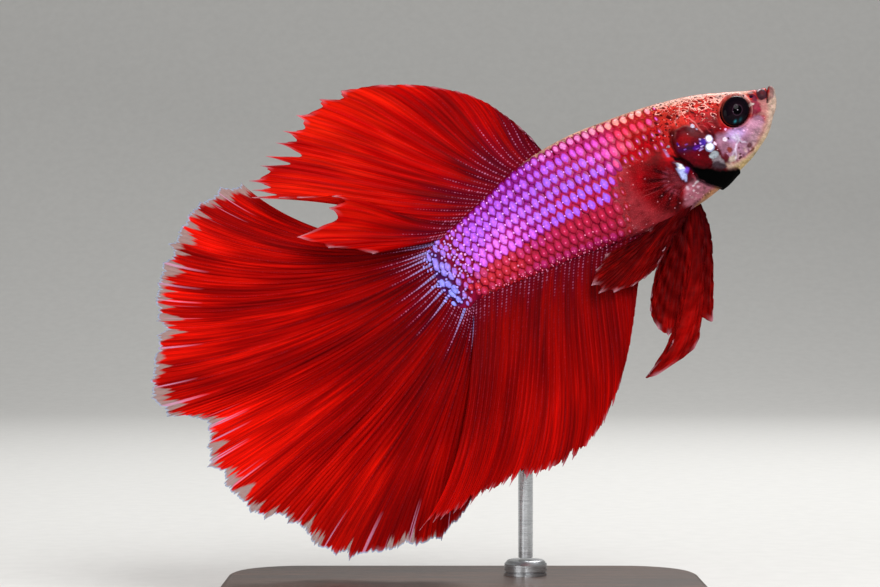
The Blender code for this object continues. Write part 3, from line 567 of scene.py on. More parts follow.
def new_finish(name):
    """An empty material, and the function that adds a node to it."""
    made = bpy.data.materials.new(name)
    made.use_nodes = True
    tree = made.node_tree
    tree.nodes.clear()

    def add(kind, inputs=(), ramp=(), **settings):
        """Adds one node with its settings. Inputs lists the first sockets' values, or maps sockets to
        values: a number, a hex colour, an output, or a node for its first output in use. Ramp lists the
        stops of a colour ramp as (place, hex colour)."""
        new = tree.nodes.new("ShaderNode" + kind)
        for key, value in settings.items():
            setattr(new, key, value)
        for socket, value in (inputs if isinstance(inputs, dict) else dict(enumerate(inputs))).items():
            if isinstance(value, bpy.types.Node):
                value = next(o for o in value.outputs if o.enabled)
            if isinstance(value, bpy.types.NodeSocket):
                tree.links.new(value, new.inputs[socket])
            else:
                new.inputs[socket].default_value = (*linear(value), 1) if isinstance(value, str) else value
        for _ in ramp[2:]:
            new.color_ramp.elements.new(0.5)
        for k, (place, tone) in enumerate(ramp):
            new.color_ramp.elements[k].position = place
            new.color_ramp.elements[k].color = (*linear(tone), 1)
        return new

    return made, add


def varnished_skin():
    """Painted resin under satin varnish: dielectric, IOR 1.45, roughness 0.2 to 0.36 and matt on the folded
    membrane. The crown's cells, 0.8 mm across, hold a dark red dot 0.1 to 0.4 mm across inside a broken
    pale ring; pale pink specks 0.12 mm across lie on the flank; the varnish has a 0.3 mm grain."""
    finish, add = new_finish("varnished_skin")
    place = add("TexCoord").outputs["Object"]
    flat = add("UVMap", uv_map="skin_mm")
    paint = add("Attribute", attribute_name="paint")
    crown, dotted, matt = (
        add("Attribute", attribute_name=k).outputs["Fac"] for k in ("crown", "dotted", "matt")
    )
    stir = add("TexNoise", {"Vector": flat, "Scale": 0.9, "Detail": 2})
    stir = add("VectorMath", {0: stir.outputs["Color"], 3: 0.9}, operation="SCALE")
    stirred = add("VectorMath", [flat, stir], operation="ADD")
    settings = {"feature": "DISTANCE_TO_EDGE", "voronoi_dimensions": "2D"}
    net = add("TexVoronoi", {"Vector": stirred, "Scale": 1.25}, **settings)
    net = add("MapRange", {0: net, 1: 0.13, 2: 0.03, 4: 0.8}, interpolation_type="SMOOTHSTEP")
    broken = add("TexNoise", {"Vector": flat, "Scale": 1.1, "Detail": 4})
    broken = add("MapRange", [broken, 0.46, 0.6], interpolation_type="SMOOTHSTEP")
    net = add("Math", [net, broken], operation="MULTIPLY")
    cells = add("TexVoronoi", {"Vector": stirred, "Scale": 1.25}, voronoi_dimensions="2D")
    varied = add("SeparateColor", [cells.outputs["Color"]])
    reach = add("MapRange", {0: varied, 3: 0.06, 4: 0.26})
    dot = add("Math", [reach, cells], operation="SUBTRACT")
    ring = add("Math", [dot, 0.15], operation="ADD")
    ring = add("Math", [ring], operation="ABSOLUTE")
    ring = add("MapRange", [ring, 0.1, 0.03], interpolation_type="SMOOTHSTEP")
    ringed = add("MapRange", [varied.outputs[1], 0.35, 0.6])
    ahead = add("MapRange", [add("SeparateXYZ", [flat]), 10.5, 8.0, 0.45])
    ringed = add("Math", [ringed, ahead], operation="MULTIPLY")
    ring = add("Math", [ring, ringed], operation="MULTIPLY")
    pale = add("TexNoise", {"Vector": flat, "Scale": 1.9, "Detail": 4, "Roughness": 0.6})
    pale = add("MapRange", {0: pale, 1: 0.55, 2: 0.68, 4: 0.8}, interpolation_type="SMOOTHSTEP")
    mark = add("Math", [net, ring], operation="MAXIMUM")
    mark = add("Math", [mark, pale], operation="MAXIMUM")
    mark = add("Math", [mark, crown], operation="ADD")
    mark = add("MapRange", [mark, 1.0, 1.5], interpolation_type="SMOOTHSTEP")
    blotch = add("TexNoise", {"Vector": flat, "Scale": 0.8, "Detail": 4, "Roughness": 0.6})
    blotch = add("MapRange", [blotch, 0.35, 0.68, 0.55, 1.25])
    colour = add("Mix", {0: 1.0, 6: paint, 7: blotch}, data_type="RGBA", blend_type="MULTIPLY")
    mottle = add("TexNoise", {"Vector": flat, "Scale": 3.6, "Detail": 3, "Roughness": 0.6})
    mottle = add("MapRange", [mottle, 0.3, 0.7, 0.8, 1.18])
    colour = add("Mix", {0: 1.0, 6: colour, 7: mottle}, data_type="RGBA", blend_type="MULTIPLY")
    colour = add("Mix", {0: mark, 6: colour, 7: "#F2B0A4"}, data_type="RGBA")
    dot = add("MapRange", {0: dot, 1: -0.06, 2: 0.05, 4: 0.9}, interpolation_type="SMOOTHSTEP")
    small = add("TexVoronoi", {"Vector": stirred, "Scale": 2.3}, voronoi_dimensions="2D")
    small = add("MapRange", {0: small, 1: 0.24, 2: 0.12, 4: 0.85}, interpolation_type="SMOOTHSTEP")
    dot = add("Math", [dot, small], operation="MAXIMUM")
    dot = add("Math", [dot, dotted], operation="MULTIPLY")
    colour = add("Mix", {0: dot, 6: colour, 7: "#320408"}, data_type="RGBA")
    flecks = add("TexVoronoi", {"Vector": flat, "Scale": 1.3, "Randomness": 1.0}, voronoi_dimensions="2D")
    fleck = add("MapRange", {0: flecks, 1: 0.12, 2: 0.04, 4: 0.7}, interpolation_type="SMOOTHSTEP")
    kept = add("SeparateColor", [flecks.outputs["Color"]])
    kept = add("MapRange", [kept, 0.82, 0.86])
    fleck = add("Math", [fleck, kept], operation="MULTIPLY")
    fleck = add("Math", [fleck, matt], operation="SUBTRACT", use_clamp=True)
    colour = add("Mix", {0: fleck, 6: colour, 7: "#E8A8BC"}, data_type="RGBA")
    grain = add("TexNoise", {"Vector": place, "Scale": 3000, "Detail": 2})
    gloss = add("MapRange", {0: grain, 3: 0.2, 4: 0.36})
    gloss = add("Mix", {0: matt, 2: gloss, 3: 0.95}, data_type="FLOAT")
    bump = add("Bump", {"Height": grain, "Strength": 0.12, "Distance": 0.00008})
    inputs = {"Normal": bump, "IOR": 1.45, "Specular IOR Level": 0.04}
    shader = add("BsdfPrincipled", {"Base Color": colour, "Roughness": gloss, **inputs})
    add("OutputMaterial", {"Surface": shader})
    return finish


# the skin's shape: it lies COAT_DEPTH deeper under the scales, and the throat is let down a little
skin_inset = COAT_DEPTH * fade(SKIN_PLACES, 12.5, 15.0)
skin_points, skin_side = rings_at(SKIN_PLACES, SKIN_TURNS, skin_inset)
skin_normals = outward(skin_points)
skin_a, skin_h = skin_points[..., 0], skin_points[..., 2]
skin_shape = skin_points + skin_normals * relief(skin_a, skin_h, skin_side)[..., None]
throat = patch(skin_a, skin_h, MEMBRANE, 0.3) * 0.2 * hump(skin_a - 9.6, 1.4)
throat = throat * fade(np.abs(skin_side), 0.9, 0.3)
skin_shape[..., 2] -= throat
skin_faces, corner_row, corner_column = grid_quads(len(SKIN_PLACES), SKIN_TURNS, closed=True)
last = (len(SKIN_PLACES) - 1) * SKIN_TURNS
skin_ends = np.stack([np.arange(SKIN_TURNS)[::-1], last + np.arange(SKIN_TURNS)])

# two unwraps: the whole sheet as a square, and the skin in millimetres from the line of the back
along_share = (SKIN_PLACES - SKIN_PLACES[0]) / (SKIN_PLACES[-1] - SKIN_PLACES[0])
skin_unwrap = within(np.stack([along_share[corner_row], corner_column / SKIN_TURNS], -1))
end_turns = np.tile(np.arange(SKIN_TURNS) / SKIN_TURNS, (2, 1))
end_unwrap = np.stack([np.full((2, SKIN_TURNS), 0.004), end_turns], -1)
ring_length = np.linalg.norm(np.roll(skin_points, -1, axis=1) - skin_points, axis=2).sum(1)
from_back = np.minimum(corner_column, SKIN_TURNS - corner_column) / SKIN_TURNS * ring_length[corner_row]
skin_mm = np.stack([SKIN_PLACES[corner_row], from_back], -1)

# where the crown's pale rings and its dots show: not round the eye or on the gill cover
from_ridge = back_line(skin_a) - skin_h
clear_of_eye = fade(eye_share(skin_a, skin_h), 1.15, 1.25)
gill_cover = oval(skin_a, skin_h, GILL_COVER["centre"], GILL_COVER["painted"], GILL_COVER["lean"])
clear_of_gill = fade(gill_cover, 1.0, 1.15)
crown_region = fade(skin_a, 16.5, 13.0) * fade(skin_a, 2.6, 4.0) * fade(skin_h + 0.05 * skin_a, 1.0, 2.0)
crown_region = crown_region * clear_of_eye * clear_of_gill * (0.45 + 0.55 * fade(from_ridge, 2.8, 1.2))
crown_region = crown_region * (1 - 0.35 * fade(skin_a, 11.2, 12.6) * fade(from_ridge, 0.5, 1.2))
crown = fade(skin_a, 18, 15) * fade(skin_a, 3.6, 5) * fade(skin_h, 0.9, 1.7) * clear_of_eye * clear_of_gill
ridge = fade(from_ridge, 1.1, 0.7) * fade(skin_a, 27, 25) * fade(skin_a, 3, 5)
dotted_region = np.maximum(crown, ridge)
skin = piece(
    "skin",
    world(skin_shape[..., 0], skin_shape[..., 1], skin_shape[..., 2]),
    [skin_faces, skin_ends],
    varnished_skin(),
    uvs={"OFBake": [skin_unwrap, end_unwrap], "skin_mm": [skin_mm, end_unwrap]},
    paint=flesh(skin_a, skin_h).reshape(-1, 3),
    crown=crown_region,
    matt=patch(skin_a, skin_h, MEMBRANE, 0.3),
    dotted=dotted_region,
)
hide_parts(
    *["head", "lower_jaw", "upper_lip", "gill_cover_right", "gill_cover_left", "gill_membrane"],
    *["trunk_front", "trunk_rear", "tail_stalk"],
)

# ---------------------------------------------------------------- the eyes
# Glass-like balls set as deep as the fish's own, flattened and turned a little forwards. Each is cast in
# black resin with the iris painted behind a clear polished dome.

EYE_ROWS, EYE_TURNS = 40, 72


def eye_finish():
    """Polished clear-coated resin, IOR 1.34, roughness 0.03: black with a painted highlight speck in the
    middle, a thin dull-purple ring at a third of the radius, a painted teal glint low down, and a red-brown
    line at the rim."""
    finish, add = new_finish("polished_black_resin")
    share = add("Attribute", attribute_name="share").outputs["Fac"]
    # the first stop is a painted highlight speck on the very middle
    stops = [(0.0, "#C8B8C8"), (0.05, "#010102"), (0.3, "#020103"), (0.34, "#35202E")]
    stops += [(0.39, "#12070E"), (0.8, "#060309"), (0.95, "#10060A"), (0.99, "#5A241A")]
    rings = add("ValToRGB", [share], ramp=stops)
    place = add("TexCoord").outputs["Object"]
    fleck = add("TexNoise", {"Vector": place, "Scale": 5200, "Detail": 2})
    fleck = add("MapRange", [fleck, 0.55, 0.75, 0.0, 0.25])
    colour = add("Mix", {0: fleck, 6: rings, 7: "#26121C"}, data_type="RGBA")
    # painted reflection: a teal glint low on the eye
    glint = add("Attribute", attribute_name="glint").outputs["Fac"]
    colour = add("Mix", {0: glint, 6: colour, 7: "#2C8494"}, data_type="RGBA")
    inputs = {"Roughness": 0.03, "IOR": 1.34, "Specular IOR Level": 0.09}
    shader = add("BsdfPrincipled", {"Base Color": colour, **inputs})
    add("OutputMaterial", {"Surface": shader})
    return finish


def eye_points(hand):
    """A flattened ball: rings from the outer pole inwards, wide level axis, short axis across the head.
    Also each point's share of the visible radius, and the strength of its painted glint."""
    down = np.linspace(0.02, math.pi - 0.02, EYE_ROWS)[:, None]
    turn = np.linspace(0, 2 * math.pi, EYE_TURNS, endpoint=False)[None, :]
    level, up = EYE["half_a"] * np.sin(down) * np.cos(turn), EYE["half_h"] * np.sin(down) * np.sin(turn)
    out = EYE["depth"] * np.cos(down) + 0 * turn
    out = out + 0.12 * np.clip(1 - (np.sin(down) / 0.62) ** 2, 0, 1) * (np.cos(down) > 0)
    along = level * math.cos(NOSE_UP) + up * math.sin(NOSE_UP)
    rise = up * math.cos(NOSE_UP) - level * math.sin(NOSE_UP)
    a = EYE["a"] + along * math.cos(EYE["turn"]) - out * math.sin(EYE["turn"])
    y = EYE["y"] + out * math.cos(EYE["turn"]) + along * math.sin(EYE["turn"])
    share = np.where(np.cos(down) > 0, np.sin(down), 1.0) + 0 * turn
    # painted reflection: where the teal glint lies, low on the eye and tailwards of its middle
    glint = hump(np.hypot((level - 1.24) / 1.2, up + 0.52) / 0.13, 1.0)
    glint = glint + 0.25 * hump(np.hypot((level - 0.72) / 1.6, up + 0.94) / 0.15, 1.0)
    glint = glint * (np.cos(down) > 0)
    return world(a, hand * y, EYE["h"] + rise), share, 0.8 * glint


eye_quads, eye_row, eye_column = grid_quads(EYE_ROWS, EYE_TURNS, closed=True)
eye_caps = np.stack([np.arange(EYE_TURNS)[::-1], (EYE_ROWS - 1) * EYE_TURNS + np.arange(EYE_TURNS)])
polar = 0.5 * eye_row / (EYE_ROWS - 1)
eye_turn = 2 * math.pi * eye_column / EYE_TURNS
eye_unwrap = np.stack([0.5 + polar * np.cos(eye_turn), 0.5 + polar * np.sin(eye_turn)], -1)
cap_turn = np.stack([np.arange(EYE_TURNS)[::-1], np.arange(EYE_TURNS)]) * 2 * math.pi / EYE_TURNS
cap_reach = np.array([[0.001], [0.499]])
cap_unwrap = np.stack([0.5 + cap_reach * np.cos(cap_turn), 0.5 + cap_reach * np.sin(cap_turn)], -1)
black_resin = eye_finish()
for label, hand in (("right", -1), ("left", 1)):
    ball, share, glint = eye_points(hand)
    eye = piece(
        "eyeball_" + label,
        ball,
        [eye_quads, eye_caps],
        black_resin,
        uvs={"OFBake": [eye_unwrap, cap_unwrap]},
        share=share,
        glint=glint,
    )
    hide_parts("eye_" + label)

# ---------------------------------------------------------------- the coat of scales
# Thin domed plates in staggered rows, front edge buried and rear edge proud, each lapping the next. They
# are pressed from pearl foil and lacquered: pink on the back, violet along the flank, crimson below, and blue
# at the root of the tail. Each plate carries a painted highlight: its lens brightens towards the centre, and
# a magenta spark sits on its middle, strongest on the lower rows.

SCALE_PITCH = 0.97  # along a row, mm
SCALE_ROWS = 20  # round the whole body
SCALE_SPOKES = 12
COAT_START, COAT_END = 12.6, 46.8  # the stations between which roots may stand
LAST_STATION = 47.1  # no plate reaches past it
PLATE_BACK, PLATE_FRONT = 0.66, 0.56  # a plate's reach behind and before its root, mm
PLATE_HALF = 0.69  # half a plate's height, as a share of the step between rows
LENS_AT, LENS_WIDE, LENS_TALL = 0.15, 0.42, 0.7  # place behind the root and half sizes of the lens, mm
BURIED = 0.12  # depth of the lowest ring of points, mm
PLATE_UNWRAP = 0.0015  # half a plate's size on the unwrap
STALK_BEADS, FINE_BEADS = 60, 90  # the numbers that the second and third pattern of beads start with


def on_skin(a, share):
    """(points, normals) on the bare skin at stations a and shares of the ring's length, read between the
    four nearest grid points by straight proportions."""
    row = np.interp(a, SKIN_PLACES, np.arange(len(SKIN_PLACES)))
    r = np.clip(row.astype(int), 0, len(SKIN_PLACES) - 2)
    column = (share % 1.0) * SKIN_TURNS
    c = column.astype(int) % SKIN_TURNS
    tr, tc = (row - r)[..., None], (column - np.floor(column))[..., None]
    read = []
    for grid in (skin_shape, skin_normals):
        low = grid[r, c] * (1 - tc) + grid[r, (c + 1) % SKIN_TURNS] * tc
        high = grid[r + 1, c] * (1 - tc) + grid[r + 1, (c + 1) % SKIN_TURNS] * tc
        read.append(low * (1 - tr) + high * tr)
    return read


def coat_front(h):
    """Where the full scales begin, for each height: far forward on the back, behind the veil on the
    flank."""
    heights = [-7, -5, -3, -1.5, 0, 1.8, 3.1, 3.8, 5.8, 7, 8]
    return np.interp(h, heights, [24.2, 23.6, 22.8, 22.8, 22.2, 20.4, 19.4, 15.0, 13.8, 13.4, 13.2])


def lattice(count, rows):
    """(numbers along the rows, rows) of a grid of roots."""
    return np.meshgrid(np.arange(count), rows, indexing="ij")


def scale_roots():
    """(stations, shares, row numbers, numbers along the row): even steps along each row, every second row
    half a step on. Rows part the ring's length evenly. A few small ones stand in front of the full coat,
    and both steps waver at the root of the tail."""
    n, row = lattice(int((46.4 - COAT_START) / SCALE_PITCH), np.arange(SCALE_ROWS))
    late = fade(n, 27, 32)
    a = COAT_START + SCALE_PITCH * (n + 0.5 * (row % 2)) + (0.05 + 0.2 * late) * np.sin(3.1 * n + 1.7 * row)
    share = (row + (0.05 + 0.22 * late) * np.sin(2.3 * n + 4.1 * row)) / SCALE_ROWS
    points, _ = on_skin(a, share)
    h = points[..., 2]
    side_row = np.minimum(row, SCALE_ROWS - row)
    ahead = np.where((h > 0.8) & (h < 4.6), 6.5, 1.6)
    keep = (a > coat_front(h) - ahead) & (a > 13.0) & (a < COAT_END - 0.12 * np.abs(h))
    keep &= (side_row > 0) | (a >= 41.5)
    keep &= (side_row < 10) | ((a >= 21) & (a <= 42.5))
    return a[keep], share[keep], row[keep], n[keep]


def bead_roots():
    """(stations, shares, row numbers, radii) of the pearls between the plates: one behind each plate, left
    out more often towards the head; a denser pattern round the root of the tail; and fine rows along the
    roots of the fins."""
    n, row = lattice(26, np.arange(SCALE_ROWS))
    a = COAT_START + SCALE_PITCH * (n + 9.65 + 0.5 * (row % 2)) + 0.05 * np.sin(5 * n + 3 * row)
    patterns = [(a, row + 0.04 * np.sin(7 * n + row), row, n)]
    n, row = lattice(11, np.arange(SCALE_ROWS))
    a = 41.6 + 0.46 * n + 0.2 * np.sin(5.3 * n + 2.9 * row)
    patterns.append((a, row + 0.5 + 0.2 * np.sin(3.7 * n + 1.9 * row), row, STALK_BEADS + n))
    n, row = lattice(46, [0.8, 9.1, 9.4, 9.7, 10.3, 10.6, 10.9, 19.2])
    a = 22.4 + 0.43 * n + 0.17 * np.sin(3.9 * n + 5 * row)
    patterns.append((a, row + 0.17 * np.sin(2.7 * n + 9 * row), row, FINE_BEADS + n))
    a, share, row, n = (np.concatenate([part.ravel() for part in parts]) for parts in zip(*patterns))
    share = share / SCALE_ROWS
    points, _ = on_skin(a, share)
    h = points[:, 2]
    side_row = np.minimum(row, SCALE_ROWS - row)
    wanted = np.where(side_row <= 6, 0.45 + 0.5 * fade(a, 23, 33), 0.2)
    wanted = wanted - 0.3 * fade(a, 41, 42) - 0.2 * fade(a, 43.4, 44.4)
    wanted = np.where(n >= STALK_BEADS, 0.6 + 0.2 * fade(a, 43.8, 44.6), wanted)
    wanted = np.where(n >= FINE_BEADS, 0.55 * fade(a, 41.5, 40) * fade(a, 22, 25), wanted)
    lot = (np.sin(row * 37.719 + n * 11.135) * 24634.6345) % 1.0
    keep = (lot < wanted) & (side_row > 0) & (side_row < 10)
    keep &= (a < COAT_END - 0.1 * np.abs(h)) & (a > coat_front(h) + 0.8)
    keep &= (n < FINE_BEADS) | (side_row > 1) | (a > 27)
    radius = 0.1 + 0.03 * fade(a, 28, 36) + 0.05 * lot * fade(a, 39, 43)
    radius = np.where(n >= FINE_BEADS, 0.05 + 0.05 * lot, radius)
    return a[keep], share[keep], np.round(row[keep]).astype(int), radius[keep]


# the roots of plates and beads in one list, and what follows from each root's place and lot
plate_a, plate_share, plate_row, plate_number = scale_roots()
bead_a, bead_share, bead_row, bead_radius = bead_roots()
bead = np.arange(len(plate_a) + len(bead_a)) >= len(plate_a)
scale_a = np.concatenate([plate_a, bead_a])
scale_share = np.concatenate([plate_share, bead_share])
scale_row = np.concatenate([plate_row, bead_row])
scale_number = np.concatenate([plate_number, np.arange(len(bead_a))])
root_points, root_normals = on_skin(scale_a, scale_share)
root_h = root_points[:, 2]
ring = np.interp(scale_a, SKIN_PLACES, ring_length)[:, None, None]
chance = (np.sin(scale_row * 12.9898 + scale_number * 78.233) * 43758.5453) % 1.0
side_row = np.minimum(scale_row, SCALE_ROWS - scale_row)
plain = np.where(bead, 0, fade(scale_a - coat_front(root_h), 0.7, -1.2))
size = (0.92 + 0.12 * chance) * (1 - 0.45 * plain) * (1 - 0.38 * hump(scale_a - 42.5, 0.9))
size = size * np.where((side_row == 1) & (scale_a < 28), 0.86, 1)
size = size * (1 - 0.04 * fade(scale_a, 43.4, 44.4))
size = size * (1 - 0.4 * fade(scale_a, 41.8, 43) * fade(root_h, -2.0, -3.4))
narrow = size * (1 - (0.05 + 0.2 * chance) * fade(scale_a, 42.5, 44))

# [scale][ring][spoke]: steps tailward and upward from the root, then the points on the skin and their lift
spokes = np.linspace(0, 2 * math.pi, SCALE_SPOKES, endpoint=False)[None, None, :]
reach = np.array([0.42, 0.76, 1.0, 1.0])[None, :, None]
is_bead = bead[:, None, None]
radius = np.concatenate([0 * plate_a, bead_radius])[:, None, None]
tail_ward = np.where(np.cos(spokes) > 0, PLATE_BACK, PLATE_FRONT) * np.cos(spokes) * reach
up_ward = PLATE_HALF * (ring / SCALE_ROWS) * np.sin(spokes) * reach
along = np.where(is_bead, radius * np.cos(spokes) * reach, tail_ward * narrow[:, None, None])
around = np.where(is_bead, radius * np.sin(spokes) * reach, up_ward * size[:, None, None])
station = np.clip(scale_a[:, None, None] + along, SKIN_PLACES[0], LAST_STATION)
plate, plate_normal = on_skin(station, scale_share[:, None, None] + around / ring)
lens = np.abs(tail_ward - LENS_AT) / LENS_WIDE + (up_ward / LENS_TALL) ** 2
lift = 0.045 + 0.1 * (tail_ward / PLATE_BACK) + 0.05 * (1 - reach**2) + 0.05 * np.clip(1.2 - lens, 0, 1)
lift = np.where(is_bead, 0.13 + 0.13 * (1 - reach**2), lift * (1 - 0.6 * plain[:, None, None]))
lift = np.where(np.arange(4)[None, :, None] == 3, -BURIED, lift)
plate = plate + plate_normal * lift[..., None]
top = root_points + root_normals * np.where(bead, 0.27, 0.135 * (1 - 0.6 * plain))[:, None]
coat_points = np.concatenate([top[:, None, :], plate.reshape(len(scale_a), -1, 3)], 1)

# the faces of one scale: a fan round its top, three bands, and a floor under the skin
per_scale = 1 + 4 * SCALE_SPOKES
first = (np.arange(len(scale_a)) * per_scale)[:, None, None]
spoke = np.arange(SCALE_SPOKES)
after = (spoke + 1) % SCALE_SPOKES
fan = np.stack([0 * spoke, 1 + spoke, 1 + after], -1)[None]
bands = []
for inner in 1 + SCALE_SPOKES * np.arange(3):
    outer = inner + SCALE_SPOKES
    bands.append(np.stack([inner + spoke, outer + spoke, outer + after, inner + after], -1))
bands = np.concatenate(bands)[None]
floor_face = (1 + 3 * SCALE_SPOKES + spoke[::-1])[None, None, :]
coat_faces = [(first + f).reshape(-1, f.shape[-1]) for f in (fan, bands, floor_face)]


def scale_paint(a, k, chance, plain, h, bead):
    """(middle colour, rim colour, size of the bright lens, strength of the painted highlight spark in the
    centre) for each scale, from its station and its row k counted from the back. A pink glow lies over the
    rear flank."""
    upper, flank, low = k <= 3, (k >= 4) & (k <= 6), k >= 7
    hot = hump(np.hypot((a - 36.4) / 3.8, (h - 0.8 + 0.18 * (a - 36.4)) / 1.7), 1.0)
    bent = 1.4 * np.abs(k - 2)
    violet_to_pink = [
        ("#8A56EE", (flank | (k == 3)) * (0.3 + 0.5 * chance) * fade(a, 44, 20)),
        ("#C24CE0", (k == 6) * fade(a, 30, 34) * 0.9 + (k == 5) * fade(a, 32, 37) * 0.5),
        ("#CC44B8", (upper | (k == 4)) * fade(a, 26.5 - bent, 22.5 - bent)),
        ("#DC3258", upper * fade(a, 22, 18.5) + (k == 4) * fade(a, 22, 20)),
        ("#D874BC", (k == 1) * fade(a, 30, 26)),
        ("#E88C84", (k == 1) * fade(a, 24, 18)),
        ("#E070E4", 0.7 * hot),
    ]
    crimson_rows = [
        ("#AE0E3A", low),
        ("#B02884", low * ((k == 7) * fade(a, 29, 34) * 0.8 + (k == 9) * 0.45 + (k == 8) * 0.1)),
        ("#B82430", low * fade(a, 33, 37) * (0.8 - 0.2 * (k == 9))),
    ]
    blue_stalk = [
        ("#9A58C4", fade(a, 39.5, 42.5) * (k <= 7) * 0.7),
        ("#8E78E0", fade(a, 42.6, 44.2) * fade(h, -6.5, -5)),
        ("#8490F8", (0.4 + 0.6 * chance) * fade(a, 43, 45) * fade(h, 2.5, -1.0)),
    ]
    front_and_beads = [
        ("#60061A", k == 10),
        ("#C04468", plain * (h < 0.8)),
        ("#C04CB0", plain * (h >= 0.8)),
        ("#E8A0EC", bead * (k <= 6) * 0.9),
        ("#E080A4", bead * (k >= 7) * fade(a, 42.5, 40)),
        ("#B08CDC", bead * fade(a, 41, 43) * 0.85),
        ("#9490EC", bead * fade(a, 43.6, 44.6) * 0.85),
    ]
    crimson = ((k == 5) | (k == 6)) * (0.85 * fade(a, 33, 28) + 0.3 * fade(a, 28, 36))
    rims = [
        ("#A81C60", fade(a, 32, 24) * upper),
        ("#B01622", fade(a, 22, 17) * upper),
        ("#B42098", 0.9 * hot),
        ("#B01038", crimson + (k == 4) * 0.4 * fade(a, 33, 28)),
        ("#9A0A30", low),
        ("#A60A1C", low * fade(a, 33, 37)),
        ("#8A0838", fade(a, 39, 42) * ~low),
        ("#4C1858", fade(a, 43, 44.6) * fade(np.abs(h - 0.3), 4.6, 3.2)),
        ("#960C18", plain),
        ("#9A3CA0", bead * 0.8),
    ]
    middle = painted(a.shape, "#A64EDC", [*violet_to_pink, *crimson_rows, *blue_stalk, *front_and_beads])
    glow = (0.84 + 0.24 * chance) * (1 - 0.3 * (k == 1) * fade(a, 27, 31)) * (1 - 0.5 * plain)
    glow = glow * (1 + 0.12 * fade(a, 43, 44.5) - 0.1 * hump(a - 42.3, 1.0)) * (1 - 0.35 * (k == 10))
    # painted highlight: the strength of the spark on each plate's middle, strongest on the lower rows
    spark = np.where(low, 0.7, 0.2 + 0.3 * (chance > 0.6)) * (1 - 0.3 * plain) * ~bead * fade(a, 45, 42.5)
    return middle, painted(a.shape, "#84107A", rims), np.where(bead, 1.25, glow), spark


def pearl_scale():
    """Lacquered pearl foil: dielectric, IOR 1.5, roughness 0.24 to 0.4, with a shimmer finer than 0.3 mm.
    Each plate shows a bright upright lens on a darker ground, painted brighter towards its centre as a
    highlight, and a painted highlight spark about 0.2 mm across on its middle. The lens lies where |u| /
    LENS_WIDE + (v / LENS_TALL)^2 is below the plate's glow."""
    finish, add = new_finish("lacquered_pearl_scale")
    place = add("TexCoord").outputs["Object"]
    middle = add("Attribute", attribute_name="middle")
    rim = add("Attribute", attribute_name="rim")
    glow, spark = (add("Attribute", attribute_name=k).outputs["Fac"] for k in ("glow", "spark"))
    plate = add("UVMap", uv_map="plate")
    wobble = add("TexNoise", {"Vector": place, "Scale": 2600, "Detail": 2})
    wobble = add("MapRange", {0: wobble, 3: -0.3, 4: 0.3})
    split = add("SeparateXYZ", [plate])
    across = add("Math", [split.outputs[0]], operation="ABSOLUTE")
    across = add("Math", [across, LENS_WIDE], operation="DIVIDE")
    tall = add("Math", [split.outputs[1], LENS_TALL], operation="DIVIDE")
    tall = add("Math", [tall, tall], operation="MULTIPLY")
    lens = add("Math", [across, tall], operation="ADD")
    lens = add("Math", [lens, glow], operation="DIVIDE")
    lens = add("Math", [lens, wobble], operation="ADD")
    filled = add("MapRange", [lens, 1.2, 0.7], interpolation_type="SMOOTHSTEP")
    colour = add("Mix", {0: filled, 6: rim, 7: middle}, data_type="RGBA")
    # painted highlight: the lens brightens towards its centre
    centre_highlight = add("MapRange", {0: lens, 1: 0.8, 2: 0.05, 4: 0.3}, interpolation_type="SMOOTHSTEP")
    colour = add("Mix", {0: centre_highlight, 6: colour, 7: middle}, data_type="RGBA", blend_type="ADD")
    # painted highlight: the spark on the plate's middle
    off = add("VectorMath", [plate, (0.0, 0.05, 0)], operation="DISTANCE").outputs["Value"]
    off = add("MapRange", [off, 0.15, 0.04], interpolation_type="SMOOTHSTEP")
    off = add("Math", [off, spark], operation="MULTIPLY")
    colour = add("Mix", {0: off, 6: colour, 7: "#F47CB0"}, data_type="RGBA")
    shimmer = add("TexNoise", {"Vector": place, "Scale": 3600, "Detail": 2})
    shimmer = add("MapRange", [shimmer, 0.3, 0.7, 0.76, 1.2])
    colour = add("Mix", {0: 1.0, 6: colour, 7: shimmer}, data_type="RGBA", blend_type="MULTIPLY")
    gloss = add("MapRange", [wobble, -0.3, 0.3, 0.24, 0.4])
    inputs = {"IOR": 1.5, "Specular IOR Level": 0.16}
    shader = add("BsdfPrincipled", {"Base Color": colour, "Roughness": gloss, **inputs})
    add("OutputMaterial", {"Surface": shader})
    return finish


middle, rim, glow, spark = scale_paint(scale_a, side_row, chance, plain, root_h, bead)

# each point's place on its own plate in millimetres, and each scale's spot on the unwrap of the whole coat
down_ward = np.where(scale_share < 0.5, 1, -1)[:, None, None]
plate_u = np.where(is_bead, 0.3 * np.cos(spokes) * reach, tail_ward - LENS_AT).reshape(len(scale_a), -1)
plate_v = np.where(is_bead, 0.45 * np.sin(spokes) * reach, up_ward * down_ward).reshape(len(scale_a), -1)
plate_u = np.concatenate([np.where(bead, 0.0, -LENS_AT)[:, None], plate_u], 1)
plate_v = np.concatenate([np.zeros((len(scale_a), 1)), plate_v], 1)
plate_mm = np.stack([plate_u, plate_v], -1).reshape(-1, 2)
root_uv = within(np.stack([np.interp(scale_a, SKIN_PLACES, along_share), scale_share], -1))
local_u, local_v = (np.concatenate([[0.0], (reach * f(spokes)).ravel()]) for f in (np.cos, np.sin))
local = np.stack([local_u, local_v], -1)
coat_unwrap = []
for f in (fan, bands, floor_face):
    spots = root_uv[:, None, None, :] + PLATE_UNWRAP * local[f[0]][None]
    coat_unwrap.append(spots.reshape(-1, f.shape[-1], 2))
